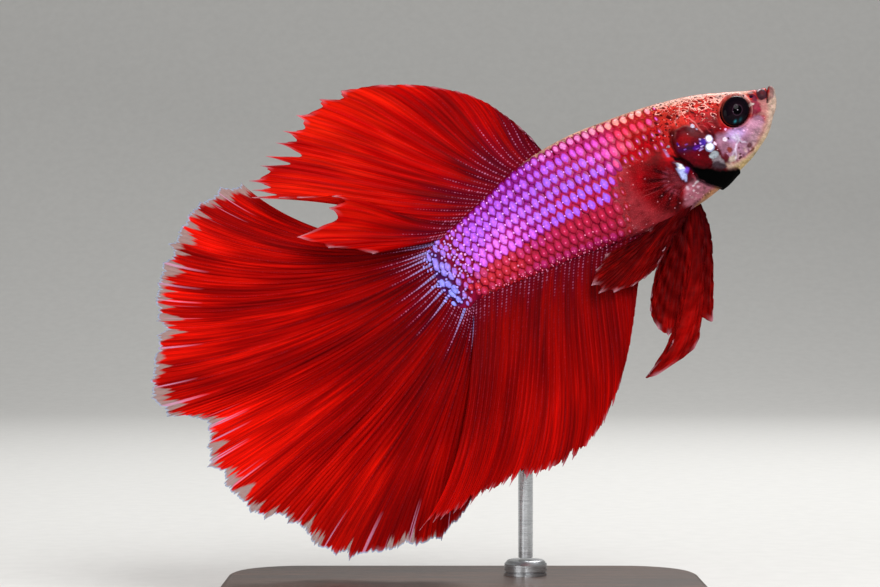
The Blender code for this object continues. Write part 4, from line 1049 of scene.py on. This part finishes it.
coat = piece(
    "scale_coat",
    world(coat_points[..., 0], coat_points[..., 1], coat_points[..., 2]),
    coat_faces,
    pearl_scale(),
    uvs={"OFBake": coat_unwrap, "plate": [plate_mm[f] for f in coat_faces]},
    middle=np.repeat(middle, per_scale, 0),
    rim=np.repeat(rim, per_scale, 0),
    glow=np.repeat(glow, per_scale),
    spark=np.repeat(spark, per_scale),
)

# ---------------------------------------------------------------- the fins
# Thin pleated sheets on fine rays that fork twice on their way to a ragged edge. They are dyed silk
# stiffened with resin, held in a slot along the back, the belly and the end of the stalk.

SHEET_ROOT, SHEET_EDGE = 0.34, 0.12  # thickness, mm
BEAD_STEP = 0.34  # from bead to bead along a ray, mm
ROOT_SINK = 0.6  # the rays start this deep in the body, mm


def ray_grid(roots, tips, leaving, arriving, edge, steps):
    """The rays of a fin in side view. Side holds points [ray][step] on cubics from root to tip, which leave
    and arrive at the given headings and are cut short at their share of the full length; done holds the
    shares covered, and reach the straight ways from root to tip, mm."""
    lengths, points = edge
    reach = np.linalg.norm(tips - roots, axis=1)[:, None]
    leave = roots + 0.35 * reach * np.stack([np.cos(leaving), np.sin(leaving)], 1)
    arrive = tips - 0.3 * reach * np.stack([np.cos(arriving), np.sin(arriving)], 1)
    t = (np.linspace(0, 1, steps)[None, :] ** 0.9 * lengths[:, None])[:, :, None]
    side = (1 - t) ** 3 * roots[:, None] + 3 * t * (1 - t) ** 2 * leave[:, None]
    side = side + 3 * t * t * (1 - t) * arrive[:, None] + t**3 * tips[:, None]
    return SimpleNamespace(side=side, done=t[:, :, 0], lengths=lengths, points=points, reach=reach)


def ragged(tip_count, notch, vary, shares, fine=0.4, teeth=2, depth=1.0):
    """(lengths, points): each ray's share of its full length, and 1 at a tip falling to 0 between tips.
    Tips and gaps take turns at uneven places; the edge falls away from a tip like the root of the distance,
    scaled by depth along the edge, and smaller teeth stand between."""
    number = np.arange(2 * tip_count - 1)
    uneven = 0.6 * np.sin(2.4 * number) + 0.4 * np.sin(1.7 * number + 1)
    knots = np.where(number % 2 == 0, 1 - vary * (1 + uneven) / 2, 1 - notch * (1 + 0.45 * uneven))
    last = 2 * tip_count - 2
    place = shares * last
    place = place + 0.3 * np.sin(1.3 * place) * np.clip(np.minimum(place, last - place), 0, 1)
    low = np.clip(place.astype(int), 0, last - 1)
    t = place - low
    point = np.where(low % 2 == 0, 1 - t, t) ** 3
    t = np.where(low % 2 == 0, t**0.5, 1 - (1 - t) ** 0.5)
    edge = 1 - depth * (1 - knots[low] * (1 - t) - knots[low + 1] * t)
    tooth = np.abs((place * teeth) % 2 - 1)
    small = 0.5 + 0.5 * np.sin(1.9 * np.floor(place * teeth / 2))
    return edge - fine * notch * (1 - tooth) * small, point


def headings(start, end, shares):
    """A heading for each ray, in radians, that turns evenly from the first to the last."""
    return np.radians(start + (end - start) * shares)


def tips_at(rows, shares):
    """The tips of rays at these shares of the root, on smooth curves through evenly spaced rows."""
    rows = np.asarray(rows, float)
    knots = np.linspace(0, 1, len(rows))
    return np.stack([smooth_through(knots, rows[:, i])(shares) for i in (0, 1)], 1)


def fan_tips_at(rows, centre, shares):
    """The tips of a fan's rays, from the angles and reaches in its rows."""
    angle, reach = tips_at(rows, shares).T
    angle = np.radians(angle)
    return np.stack([centre[0] + reach * np.cos(angle), centre[1] + reach * np.sin(angle)], 1)


def fin_sheet(name, rays, y, ray_count, finish, pleat=0.07):
    """A closed sheet round a pleated middle surface. The pleats are one cosine for each ray, which gives
    way to one of twice and then four times the count where the rays fork; the two faces lie half the
    thickness off the middle and meet in a strip round the rim."""
    side, done, reach = rays.side, rays.done, rays.reach
    middle = world(side[..., 0], y, side[..., 1]) / MM
    normal = np.cross(np.gradient(middle, axis=0), np.gradient(middle, axis=1))
    normal /= np.maximum(np.linalg.norm(normal, axis=2, keepdims=True), 1e-9)
    lines, steps = done.shape
    turn = 2 * math.pi * ray_count * np.linspace(0, 1, lines)[:, None]
    first, second = fade(done, 0.22, 0.42), fade(done, 0.5, 0.74)
    ridge = (1 - first) * np.cos(turn) - first * (1 - second) * np.cos(2 * turn) - second * np.cos(4 * turn)
    middle = middle + normal * (pleat * ridge * fade(done, 0.0, 0.08) * (1 - 0.35 * second))[..., None]
    thick = (SHEET_ROOT + (SHEET_EDGE - SHEET_ROOT) * fade(done, 0, 0.6))[..., None]
    both = np.stack([middle + normal * thick / 2, middle - normal * thick / 2]) * MM
    count = lines * steps
    front, _, _ = grid_quads(lines, steps)
    far_side = (lines - 1) * steps + np.arange(1, steps)
    back_again = np.arange(lines - 2, -1, -1) * steps + steps - 1
    loop = np.concatenate([np.arange(lines) * steps, far_side, back_again, np.arange(steps - 2, 0, -1)])
    before = np.roll(loop, 1)
    strip = np.stack([loop, before, before + count, loop + count], -1)
    faces = np.concatenate([front, front[:, ::-1] + count, strip])
    u, v = np.divmod(np.arange(count), steps)
    flat = np.stack([u / (lines - 1), v / (steps - 1)], -1)
    flat = np.concatenate([flat, flat])
    bake = flat * (0.98, 0.48) + (0.01, 0.01)
    bake[count:, 1] += 0.5
    spacing = np.linalg.norm(np.gradient(side, axis=0), axis=2)
    measured = {
        "root_mm": done * reach,
        "rim_mm": (rays.lengths[:, None] - done) * reach,
        "ridge": ridge,
        "wide_mm": spacing * (lines - 1) / ray_count,
        "point": np.broadcast_to(rays.points[:, None], done.shape),
    }
    return piece(
        name,
        both,
        [faces],
        finish,
        uvs={"OFBake": [bake[faces]], "rays": [(flat * (ray_count, 1.0))[faces]]},
        **{key: np.tile(values, (2, 1, 1)) for key, values in measured.items()},
    )


def dyed_silk(
    name, tones, spread, sparks=0.0, gleam=0.9, lanes=2, blue=0.0, fringe=0.0, clear=0.0, crumple=0.0
):
    """Dyed silk stiffened with resin: dielectric, IOR 1.45, roughness 0.42 to 0.6. Three tenths of the
    light scatters through it. The tones follow one another over the spread, mm from the root; bands between
    half a ray and two rays wide, and hairlines an eleventh of a ray wide, run along it. Lanes of pale beads
    up to 0.23 mm across follow each ray for at most sparks mm. Blue is the length of the blue bars at the
    root, and fringe the width of the half-clear edge, mm; clear is the opacity of a clear fin's ribs, and
    crumple the strength of short creases."""
    finish, add = new_finish(name)
    across = add("SeparateXYZ", [add("UVMap", uv_map="rays")]).outputs[0]
    root, rim, ridge, wide, point = (
        add("Attribute", attribute_name=k).outputs["Fac"]
        for k in ("root_mm", "rim_mm", "ridge", "wide_mm", "point")
    )

    def streaks(per_ray, per_mm, low, high, detail=2):
        """Noise drawn out along the rays, spread between low and high."""
        u = add("Math", [across, per_ray], operation="MULTIPLY")
        v = add("Math", [root, per_mm], operation="MULTIPLY")
        place = add("CombineXYZ", [u, v])
        noise = add("TexNoise", {"Vector": place, "Scale": 1.0, "Detail": detail, "Roughness": 0.6})
        return add("MapRange", [noise, 0.32, 0.68, low, high])

    tone = add("MapRange", [root, *spread, 0.14, 0.72])
    tone = add("Math", [tone, streaks(0.55, 0.05, -0.24, 0.24)], operation="ADD")
    tone = add("Math", [tone, streaks(2.6, 0.07, -0.17, 0.17)], operation="ADD")
    # painted shade and highlight: the pleats' grooves are a little darker and their ridges a little lighter
    tone = add("Math", [tone, add("Math", [ridge, 0.05], operation="MULTIPLY")], operation="ADD")
    if crumple:
        tone = add("Math", [tone, streaks(0.9, 0.9, -crumple, crumple)], operation="ADD")
    colour = add("ValToRGB", [tone], ramp=list(zip((0.0, 0.5, 1.0), tones)))
    hair = streaks(11.0, 0.08, 0.62, 1.27)
    colour = add("Mix", {0: 1.0, 6: colour, 7: hair}, data_type="RGBA", blend_type="MULTIPLY")

    if sparks:
        # each lane has its own length and start, and each bead its own size, over a crimson ground
        lane_place = add("Math", [across, lanes], operation="MULTIPLY")
        lane = add("Math", [lane_place], operation="FLOOR")
        off_lane = add("Math", [add("Math", [lane_place], operation="FRACT"), 0.5], operation="SUBTRACT")
        off_lane = add("Math", [off_lane, wide], operation="MULTIPLY")
        off_lane = add("Math", [off_lane, 1 / lanes], operation="MULTIPLY")
        lot = add("TexWhiteNoise", {"W": lane}, noise_dimensions="1D").outputs["Value"]
        steps = add("Math", [root, BEAD_STEP], operation="DIVIDE")
        steps = add("Math", [steps, add("Math", [lot, 7.0], operation="MULTIPLY")], operation="ADD")
        off_step = add("Math", [add("Math", [steps], operation="FRACT"), 0.5], operation="SUBTRACT")
        off_step = add("Math", [off_step, BEAD_STEP], operation="MULTIPLY")
        cell = add("CombineXYZ", [lane, add("Math", [steps], operation="FLOOR")])
        draw = add("TexWhiteNoise", {"Vector": cell}, noise_dimensions="2D").outputs["Value"]
        off = add("CombineXYZ", [off_lane, off_step])
        off = add("VectorMath", [off], operation="LENGTH").outputs["Value"]
        size = add("MapRange", [draw, 0.12, 1.0, 0.035, 0.115])
        bead = add("MapRange", [add("Math", [size, off], operation="SUBTRACT"), -0.03, 0.03])
        left = add("MapRange", {0: lot, 3: sparks * 0.35, 4: sparks})
        left = add("Math", [left, root], operation="SUBTRACT")
        bead = add("Math", [bead, add("MapRange", [left, 0.0, 2.0, 0.03, gleam])], operation="MULTIPLY")
        ground = add("MapRange", {0: left, 1: -1.0, 2: 3.5, 4: 0.6})
        colour = add("Mix", {0: ground, 6: colour, 7: "#5A0220"}, data_type="RGBA")
        colour = add("Mix", {0: bead, 6: colour, 7: "#D880B0"}, data_type="RGBA")
    if blue:
        # some lanes carry short blue bars in place of beads, which narrow and turn pink away from the root
        chosen = add("MapRange", [lot, 0.56, 0.6])
        bars = add("MapRange", [add("Math", [off_step], operation="ABSOLUTE"), 0.15, 0.09, 0.25, 1.0])
        chosen = add("Math", [chosen, bars], operation="MULTIPLY")
        chosen = add("Math", [chosen, add("MapRange", [across, 2.0, 4.0, 0.15])], operation="MULTIPLY")
        width = add("MapRange", [root, 0.0, blue, 0.24, 0.02])
        width = add("Math", [width, add("Math", [off_lane], operation="ABSOLUTE")], operation="SUBTRACT")
        bar = add("Math", [add("MapRange", [width, -0.02, 0.02]), chosen], operation="MULTIPLY")
        bar = add("Math", [bar, add("MapRange", [root, blue, blue * 0.7])], operation="MULTIPLY")
        way = add("Math", [root, blue], operation="DIVIDE")
        tint = add("ValToRGB", [way], ramp=[(0.0, "#7C90F0"), (0.35, "#A8A4F0"), (1.0, "#D88AB0")])
        bar = add("Math", [bar, 0.9], operation="MULTIPLY")
        colour = add("Mix", {0: bar, 6: colour, 7: tint}, data_type="RGBA")
    pale = add("Math", [add("MapRange", {0: rim, 1: 0.9, 2: 0.0, 4: 0.85}), point], operation="MULTIPLY")
    colour = add("Mix", {0: pale, 6: colour, 7: "#D8A0B0"}, data_type="RGBA")

    inputs = {"IOR": 1.45, "Specular IOR Level": 0.04}
    if fringe:
        # flames of red reach into a half-clear, greyish web, with lone pink streaks and a bluish hem
        flames = add("Math", [rim, streaks(2.2, 0.02, -2.2, 2.2)], operation="ADD")
        lower = add("MapRange", [across, 17.0, 23.0])
        flames = add("Math", [flames, add("Math", [lower, 1.1], operation="MULTIPLY")], operation="ADD")
        # painted shade: the lower part of the tail fin darkens towards the rim
        shade = add("MapRange", {0: rim, 1: 12.0, 2: 4.0, 4: 0.35})
        shade = add("Math", [lower, shade], operation="MULTIPLY")
        colour = add("Mix", {0: shade, 6: colour, 7: "#5A0004"}, data_type="RGBA")
        web = add("MapRange", [flames, fringe * 0.75, fringe * 0.3], interpolation_type="SMOOTHSTEP")
        colour = add("Mix", {0: web, 6: colour, 7: "#B4908C"}, data_type="RGBA")
        lone = add("MapRange", [streaks(4.5, 0.02, 0.0, 1.0, detail=1), 0.9, 1.0])
        lone = add("Math", [lone, add("MapRange", [rim, 6.0, 2.0])], operation="MULTIPLY")
        lone = add("Math", [lone, 0.7], operation="MULTIPLY")
        colour = add("Mix", {0: lone, 6: colour, 7: "#E8A4CC"}, data_type="RGBA")
        hem = add("MapRange", {0: rim, 1: 0.32, 2: 0.08, 4: 0.9})
        colour = add("Mix", {0: hem, 6: colour, 7: "#B8CCE8"}, data_type="RGBA")
        inputs["Alpha"] = add("MapRange", {0: web, 3: 1.0, 4: 0.55})
    if clear:
        rib = add("MapRange", [ridge, 0.55, 0.95, clear * 0.35, clear])
        thinning = add("MapRange", [root, 1.0, 6.5, 1.0, 0.5])
        inputs["Alpha"] = add("Math", [rib, thinning], operation="MULTIPLY")
    bump = add("Bump", {"Height": hair, "Strength": 0.3, "Distance": 0.0001})
    gloss = streaks(2.6, 0.07, 0.42, 0.6)
    shader = add("BsdfPrincipled", {"Base Color": colour, "Roughness": gloss, "Normal": bump, **inputs})
    if not clear:
        through = add("BsdfTranslucent", {"Color": colour, "Normal": bump})
        shader = add("MixShader", [0.3, shader, through])
    add("OutputMaterial", {"Surface": shader})
    return finish


# The back fin: its rear half swings to the fish's right, over the tail fin's upper edge.
DORSAL_TIPS = [
    *[(27.7, 9.9), (28.9, 13.4), (30.8, 17.0), (33.6, 20.0), (38.0, 23.1), (44.2, 25.9), (50.7, 26.9)],
    *[(54.9, 25.3), (57.6, 24.0), (60.4, 22.4), (60.8, 20.2), (57.0, 18.0), (52.4, 15.2), (58.4, 12.9)],
    (51.2, 7.0),
]
shares = np.linspace(0, 1, 421)
u = shares[:, None]
edge = ragged(26, 0.15, 0.05, shares, fine=0.12, teeth=4, depth=0.2 + 0.8 * fade(shares, 0.34, 0.46))
a = 27.1 + 15.1 * shares
roots = np.stack([a, back_line(a) - ROOT_SINK], 1)
tips = tips_at(DORSAL_TIPS, shares)
rays = ray_grid(roots, tips, headings(70, 8, shares), headings(62, 12, shares), edge, 56)
swing = rays.done**1.3 * (0.5 + 3.2 * u**2)
y = sway(a)[:, None] - swing + 0.55 * rays.done**1.6 * np.sin(2 * math.pi * 2.3 * u)
dorsal_red = ["#6C0004", "#BE0200", "#F02006"]
dorsal_silk = dyed_silk("dorsal_silk", dorsal_red, (0.0, 22.0), sparks=8.0, gleam=0.7)
dorsal = fin_sheet("dorsal_sheet", rays, y, 14, dorsal_silk)
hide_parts("dorsal_fin")

# The half-moon tail fin, in broad folds, rooted round the end of the stalk.
CAUDAL_CENTRE = (44.2, 0.0)
CAUDAL_FAN = [  # each tip's angle and distance from the centre
    *[(54, 28.4), (47, 32.0), (40, 33.8), (33, 35.2), (26, 36.6), (19, 36.6), (12, 38.6), (5, 39.6)],
    *[(-1, 35.2), (-7, 37.4), (-14, 37.8), (-21, 37.9), (-28, 36.0), (-35, 37.3), (-42, 36.4)],
    *[(-50, 33.8), (-58.5, 32.2), (-67.5, 26.6)],
]
shares = np.linspace(0, 1, 925)
u = shares[:, None]
edge = ragged(34, 0.034, 0.03, shares, fine=0.5, teeth=6)
turn = np.radians(97 - 192 * shares)
roots = np.stack([42.9 + 1.5 * np.cos(turn), 4.4 * np.sin(turn)], 1)
tips = fan_tips_at(CAUDAL_FAN, CAUDAL_CENTRE, shares)
bow = np.radians(7 * (1 - shares) ** 6)
rays = ray_grid(roots, tips, headings(26, -64, shares) - bow, headings(68, -62, shares) + bow, edge, 52)
swing = rays.done**1.4 * (0.9 + 0.9 * u**2)
y = sway(BODY_LENGTH) + swing + 0.95 * rays.done**1.5 * np.cos(2 * math.pi * 4 * u)
caudal_red = ["#660004", "#A80200", "#FF1604"]
caudal_beads = {"sparks": 8.5, "gleam": 0.8, "lanes": 1}
caudal_silk = dyed_silk("caudal_silk", caudal_red, (2.0, 33.0), blue=5.5, fringe=2.0, **caudal_beads)
caudal = fin_sheet("caudal_sheet", rays, y, 33, caudal_silk)
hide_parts("caudal_fin")

# The long fin under the belly: its rear edge lies over the tail fin's lower edge.
ANAL_TIPS = [
    *[(24.4, -10.8), (29.8, -17.9), (34.4, -22.6), (38.7, -25.4), (42.7, -26.6), (46.6, -26.3)],
    *[(50.0, -25.4), (53.3, -25.0), (56.4, -25.0), (59.4, -24.9), (62.4, -24.5)],
]
shares = np.linspace(0, 1, 571)
u = shares[:, None]
edge = ragged(24, 0.06, 0.03, shares, fine=0.5, teeth=4)
a = 20.6 + 22.3 * shares
roots = np.stack([a, belly_line(a) + ROOT_SINK], 1)
tips = tips_at(ANAL_TIPS, shares)
rays = ray_grid(roots, tips, headings(-46, -60, shares), headings(-52, -20, shares), edge, 56)
swing = rays.done * (0.3 + 3.0 * u**2)
y = sway(a)[:, None] - swing + 0.5 * rays.done**1.5 * np.sin(2 * math.pi * (2.6 * u + 0.3))
anal_silk = dyed_silk("anal_silk", ["#6C0004", "#9C0200", "#E00A02"], (0.0, 28.0), sparks=5.0, gleam=0.5)
anal = fin_sheet("anal_sheet", rays, y, 19, anal_silk)
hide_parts("anal_fin")

# The belly fins: the left one hangs and ends in a long curled tip, the right one is swept back.
PELVIC_HANGING_TIPS = [
    *[(17.4, -16.6), (19.3, -20.2), (20.6, -19.6), (22.5, -21.8), (26.0, -22.5), (30.3, -22.3)],
    *[(26.2, -20.9), (24.3, -19.3), (25.2, -19.0), (25.6, -17.0)],
    *[(25.2, -15.4), (24.0, -13.6), (21.6, -10.8)],
]
PELVIC_SWEPT_TIPS = [
    *[(20.8, -9.7), (23.0, -11.2), (25.6, -11.6), (28.2, -11.3)],
    *[(30.4, -9.9), (29.6, -8.2), (27.0, -6.7)],
]
pelvic_silk = dyed_silk("pelvic_silk", ["#3C0004", "#6E0202", "#A80604"], (0.0, 14.0), crumple=0.1)
shares = np.linspace(0, 1, 241)
u = shares[:, None]
a = 13.7 + 1.6 * shares
roots = np.stack([a, belly_line(a) + ROOT_SINK], 1)
tips = tips_at(PELVIC_HANGING_TIPS, shares)
curl = np.radians(42 * hump(shares - 0.4, 0.13))
edge = ragged(12, 0.035, 0.02, shares)
rays = ray_grid(roots, tips, headings(-96, -22, shares), headings(-64, -50, shares) + curl, edge, 60)
y = 0.9 + 0.5 * rays.done + 0.7 * rays.done**1.2 * np.sin(2 * math.pi * (1.4 * u + 0.1))
crease = np.sin(2 * math.pi * (6.5 * rays.done + 1.3 * u) + 1.5 * np.sin(9 * u))
y = y + 0.16 * fade(rays.done, 0, 0.2) * crease
pelvic = fin_sheet("pelvic_sheet_left", rays, y, 6, pelvic_silk)
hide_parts("pelvic_fin_left")
a = 14.6 + 4.6 * shares
roots = np.stack([a, belly_line(a) + ROOT_SINK], 1)
tips = tips_at(PELVIC_SWEPT_TIPS, shares)
edge = ragged(9, 0.07, 0.03, shares)
rays = ray_grid(roots, tips, headings(-36, -10, shares), headings(-26, 2, shares), edge, 50)
y = -0.9 - 1.1 * rays.done - 0.3 * rays.done * np.sin(2 * math.pi * 1.5 * u)
crease = np.sin(2 * math.pi * (5 * rays.done + 1.7 * u) + np.sin(9 * u))
y = y + 0.14 * fade(rays.done, 0, 0.2) * crease
pelvic = fin_sheet("pelvic_sheet_right", rays, y, 6, pelvic_silk)
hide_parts("pelvic_fin_right")

# The clear fins behind the gill covers: fans that stand off the body.
PECTORAL_CENTRE, PECTORAL_FLARE = (14.9, -3.6), math.radians(21)
PECTORAL_FAN = [(56, 6.4), (38, 7.8), (20, 8.5), (3, 8.6), (-13, 8.3), (-28, 7.2)]
shares = np.linspace(0, 1, 193)
edge = ragged(7, 0.05, 0.02, shares)
roots = np.stack([14.6 + 0.1 * shares, -2.6 - 1.6 * shares], 1)
tips = fan_tips_at(PECTORAL_FAN, PECTORAL_CENTRE, shares)
angle = np.radians(tips_at(PECTORAL_FAN, shares)[:, 0])
rays = ray_grid(roots, tips, angle, angle, edge, 30)
out = np.linalg.norm(rays.side - rays.side[:, :1], axis=2) * math.tan(PECTORAL_FLARE)
off_skin = skin_half_width(roots[:, 0], roots[:, 1])[:, None] + 0.2
clear_silk = dyed_silk("clear_silk", ["#4A0206", "#8A0E16", "#B4484E"], (0.0, 9.0), clear=0.26)
for label, hand in (("right", -1), ("left", 1)):
    y = hand * (off_skin + out)
    pectoral = fin_sheet("pectoral_sheet_" + label, rays, y, 6, clear_silk, pleat=0.06)
    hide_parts("pectoral_fin_" + label)

# ---------------------------------------------------------------- the stand
# A walnut plate with round corners and eased edges, oiled, and a brushed steel rod that rises from a turned
# collar, bends once and enters the fish's left flank.


def oiled_walnut():
    """Walnut sawn along the grain and oiled: IOR 1.5, roughness about 0.42. Growth lines 1.2 mm apart run
    along the plate and waver; dark pores 0.1 mm wide and 2 mm long lie along them."""
    finish, add = new_finish("oiled_walnut")
    place = add("TexCoord").outputs["Object"]
    stretched = add("Mapping", {"Vector": place, "Scale": (60, 800, 800)})
    wave = {"Scale": 1.0, "Detail": 4, "Roughness": 0.55, "Distortion": 0.6}
    rings = add("TexNoise", {"Vector": stretched, **wave})
    stops = [(0.3, "#24130B"), (0.5, "#3E2314"), (0.62, "#55331D"), (0.75, "#2E190E")]
    colour = add("ValToRGB", [rings], ramp=stops)
    fine = add("Mapping", {"Vector": place, "Scale": (500, 9000, 9000)})
    pores = add("TexNoise", {"Vector": fine, "Scale": 1.0, "Detail": 2})
    dark = add("MapRange", [pores, 0.34, 0.5, 0.45, 1.0])
    colour = add("Mix", {0: 1.0, 6: colour, 7: dark}, data_type="RGBA", blend_type="MULTIPLY")
    gloss = add("MapRange", {0: pores, 3: 0.5, 4: 0.34})
    bump = add("Bump", {"Height": dark, "Strength": 0.3, "Distance": 0.00005})
    inputs = {"Normal": bump, "IOR": 1.5, "Coat Weight": 0.1, "Coat Roughness": 0.3}
    shader = add("BsdfPrincipled", {"Base Color": colour, "Roughness": gloss, **inputs})
    add("OutputMaterial", {"Surface": shader})
    return finish


def brushed_steel():
    """Stainless steel brushed round the rod: metallic, roughness 0.2 to 0.36 in bands 0.15 mm apart."""
    finish, add = new_finish("brushed_steel")
    place = add("TexCoord").outputs["Object"]
    across = add("Mapping", {"Vector": place, "Scale": (300, 300, 7000)})
    bands = add("TexNoise", {"Vector": across, "Scale": 1.0, "Detail": 2})
    gloss = add("MapRange", {0: bands, 3: 0.2, 4: 0.36})
    tone = add("ValToRGB", [bands], ramp=[(0.3, "#A9ABAE"), (0.7, "#C6C8CB")])
    bump = add("Bump", {"Height": bands, "Strength": 0.1, "Distance": 0.00002})
    inputs = {"Metallic": 1.0, "Normal": bump}
    shader = add("BsdfPrincipled", {"Base Color": tone, "Roughness": gloss, **inputs})
    add("OutputMaterial", {"Surface": shader})
    return finish


def turned_along(route, radii, count):
    """A round section carried along a route that stays in one upright plane across the fish: each ring lies
    square to the route's heading, with its own radius."""
    route = np.asarray(route, float)
    heading = np.gradient(route, axis=0)
    heading /= np.linalg.norm(heading, axis=1, keepdims=True)
    turn = np.linspace(0, 2 * math.pi, count, endpoint=False)[None, :, None]
    side = np.array([1.0, 0, 0])[None, None, :]
    other = np.cross(heading, (1.0, 0, 0))[:, None, :]
    radii = np.asarray(radii, float)[:, None, None]
    rings = route[:, None, :] + radii * (np.cos(turn) * side + np.sin(turn) * other)
    faces, _, _ = grid_quads(len(route), count, closed=True)
    ends = np.stack([np.arange(count), (len(route) - 1) * count + np.arange(count)[::-1]])[:, ::-1]
    return rings, [faces, ends]


walnut, steel = oiled_walnut(), brushed_steel()
base_node = frame["nodes"]["stand_base"]
base_node.data.materials.clear()
base_node.data.materials.append(walnut)

ROD_RADIUS, ROD_BEND, ROD_Y = 0.9, 2.6, 6.0  # mm
ROD_TURNS = 40
COLLAR_SUNK = 0.25  # mm
COLLAR_PROFILE = [  # heights, mm, and radii as shares of the collar's
    *[(0.0, 1.0), (0.3, 1.0), (0.36, 0.94), (0.44, 0.94), (0.5, 1.0)],
    *[(1.3, 1.0), (1.72, 0.86), (1.78, 0.8), (1.78, 0.36)],
]
COLLAR_TURNS = 64
(rod_low, rod_high), (collar_low, collar_high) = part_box("stand_rod"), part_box("stand_collar")
rod_x = (rod_low.x + rod_high.x) / 2 / MM
rod_top = rod_high.z / MM - ROD_RADIUS
bend = np.linspace(0, math.pi / 2, 25)
bend_y, bend_z = ROD_Y - ROD_BEND * (1 - np.cos(bend)), rod_top - ROD_BEND * (1 - np.sin(bend))
upright = np.stack([0 * bend + rod_x, bend_y, bend_z], 1)
rod_foot = [(rod_x, ROD_Y, rod_low.z / MM + t) for t in (0.0, 0.05, 6, 18)]
rod_route = np.concatenate([rod_foot, upright, [(rod_x, rod_low.y / MM, rod_top)]])
rod_radii = np.r_[ROD_RADIUS - 0.1, np.full(len(rod_route) - 1, ROD_RADIUS)]
rod_points, rod_faces = turned_along(rod_route, rod_radii, ROD_TURNS)
rod = piece("steel_rod", rod_points * MM, rod_faces, steel)
rod.data.set_sharp_from_angle(angle=math.radians(40))
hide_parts("stand_rod")

collar_r = (collar_high.x - collar_low.x) / 2 / MM
foot, head = collar_low.z / MM - COLLAR_SUNK, collar_high.z / MM
turn = np.linspace(0, 2 * math.pi, COLLAR_TURNS, endpoint=False)
collar_rings = []
for z, share in COLLAR_PROFILE:
    r, level = collar_r * share, foot + (head - foot) * z / COLLAR_PROFILE[-1][0]
    ring_x, ring_y = rod_x + r * np.cos(turn), ROD_Y + r * np.sin(turn)
    collar_rings.append(np.stack([ring_x, ring_y, np.full(COLLAR_TURNS, level)], -1))
collar_points = np.stack(collar_rings)
collar_faces, _, _ = grid_quads(len(COLLAR_PROFILE), COLLAR_TURNS, closed=True)
last_ring = (len(COLLAR_PROFILE) - 1) * COLLAR_TURNS + np.arange(COLLAR_TURNS)
collar_ends = np.stack([np.arange(COLLAR_TURNS)[::-1], last_ring])
collar = piece("steel_collar", collar_points * MM, [collar_faces, collar_ends], steel)
collar.data.set_sharp_from_angle(angle=math.radians(30))
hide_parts("stand_collar")

# ---------------------------------------------------------------- the studio
# A pale paper sweep under soft lamps: a large key lamp high at the front on the snout's side, a low fill lamp
# on the tail's side, a small spot straight ahead that gives the glints, and a rim lamp behind that lights the
# back line and shines through the fins.


def paper_sweep():
    """Matt paper, roughness 0.9, with a faint 3 mm mottle."""
    finish, add = new_finish("matt_paper")
    place = add("TexCoord").outputs["Object"]
    mottle = add("TexNoise", {"Vector": place, "Scale": 330, "Detail": 2})
    tone = add("ValToRGB", [mottle], ramp=[(0.3, "#D6D5D2"), (0.7, "#DAD9D6")])
    shader = add("BsdfPrincipled", {"Base Color": tone, "Roughness": 0.9})
    add("OutputMaterial", {"Surface": shader})
    return finish


SWEEP_BEND = 0.35  # m
quarter = np.linspace(0.1, math.pi / 2, 12)
run = np.concatenate([np.linspace(-1.2, 0.5, 12), 0.5 + SWEEP_BEND * np.sin(quarter), np.full(4, 0.85)])
rise = np.concatenate([np.zeros(12), SWEEP_BEND * (1 - np.cos(quarter)), np.linspace(0.5, 1.6, 4)])
wide = np.linspace(-1.4, 1.4, 5)
sweep_points = np.stack(np.broadcast_arrays(wide[None, :], run[:, None], rise[:, None]), -1)
sweep_mesh = bpy.data.meshes.new("sweep")
sweep_quads, _, _ = grid_quads(len(run), len(wide))
sweep_mesh.from_pydata(sweep_points.reshape(-1, 3).tolist(), [], sweep_quads[:, ::-1].tolist())
sweep_mesh.shade_smooth()
sweep_mesh.materials.append(paper_sweep())
sweep = bpy.data.objects.new("sweep", sweep_mesh)
bpy.context.scene.collection.objects.link(sweep)


def lamp(name, place, aim, size, power):
    """A round white area lamp whose face looks from its place towards the aim."""
    light = bpy.data.lights.new(name, "AREA")
    light.shape = "DISK"
    light.size, light.energy = size, power
    made = bpy.data.objects.new(name, light)
    made.location = place
    made.rotation_euler = (Vector(aim) - Vector(place)).to_track_quat("-Z", "Y").to_euler()
    bpy.context.scene.collection.objects.link(made)
    return made


middle_of_fish = (0.0, 0.0, 0.038)
lamp("key", (0.16, -0.42, 0.4), middle_of_fish, 0.3, 2.6)
lamp("fill", (-0.35, -0.4, 0.1), middle_of_fish, 0.35, 0.8)
lamp("rim", (0.1, 0.3, 0.42), middle_of_fish, 0.25, 1.7)
lamp("front_spot", (0.03, -0.5, 0.12), (0.03, 0, 0.055), 0.05, 0.3)
world_light = bpy.data.worlds.new("studio")
world_light.use_nodes = True
world_light.node_tree.nodes["Background"].inputs[0].default_value = (1, 1, 1, 1)
world_light.node_tree.nodes["Background"].inputs[1].default_value = 0.3
bpy.context.scene.world = world_light
bpy.context.scene.view_settings.view_transform = "Standard"

CAMERA_BEHIND, CAMERA_BELOW = 39.84, 23.58  # where it stands from the snout, mm
CAMERA_AWAY = 0.3  # m
camera_data = bpy.data.cameras.new("camera")
camera_data.lens, camera_data.sensor_width = 102.27, 36.0
camera_data.clip_start, camera_data.clip_end = 0.01, 10
camera = bpy.data.objects.new("camera", camera_data)
camera.location = ((SNOUT_X - CAMERA_BEHIND) * MM, -CAMERA_AWAY, (SNOUT_Z - CAMERA_BELOW) * MM)
camera.rotation_euler = (math.radians(90), 0, 0)
bpy.context.scene.collection.objects.link(camera)
bpy.context.scene.camera = camera
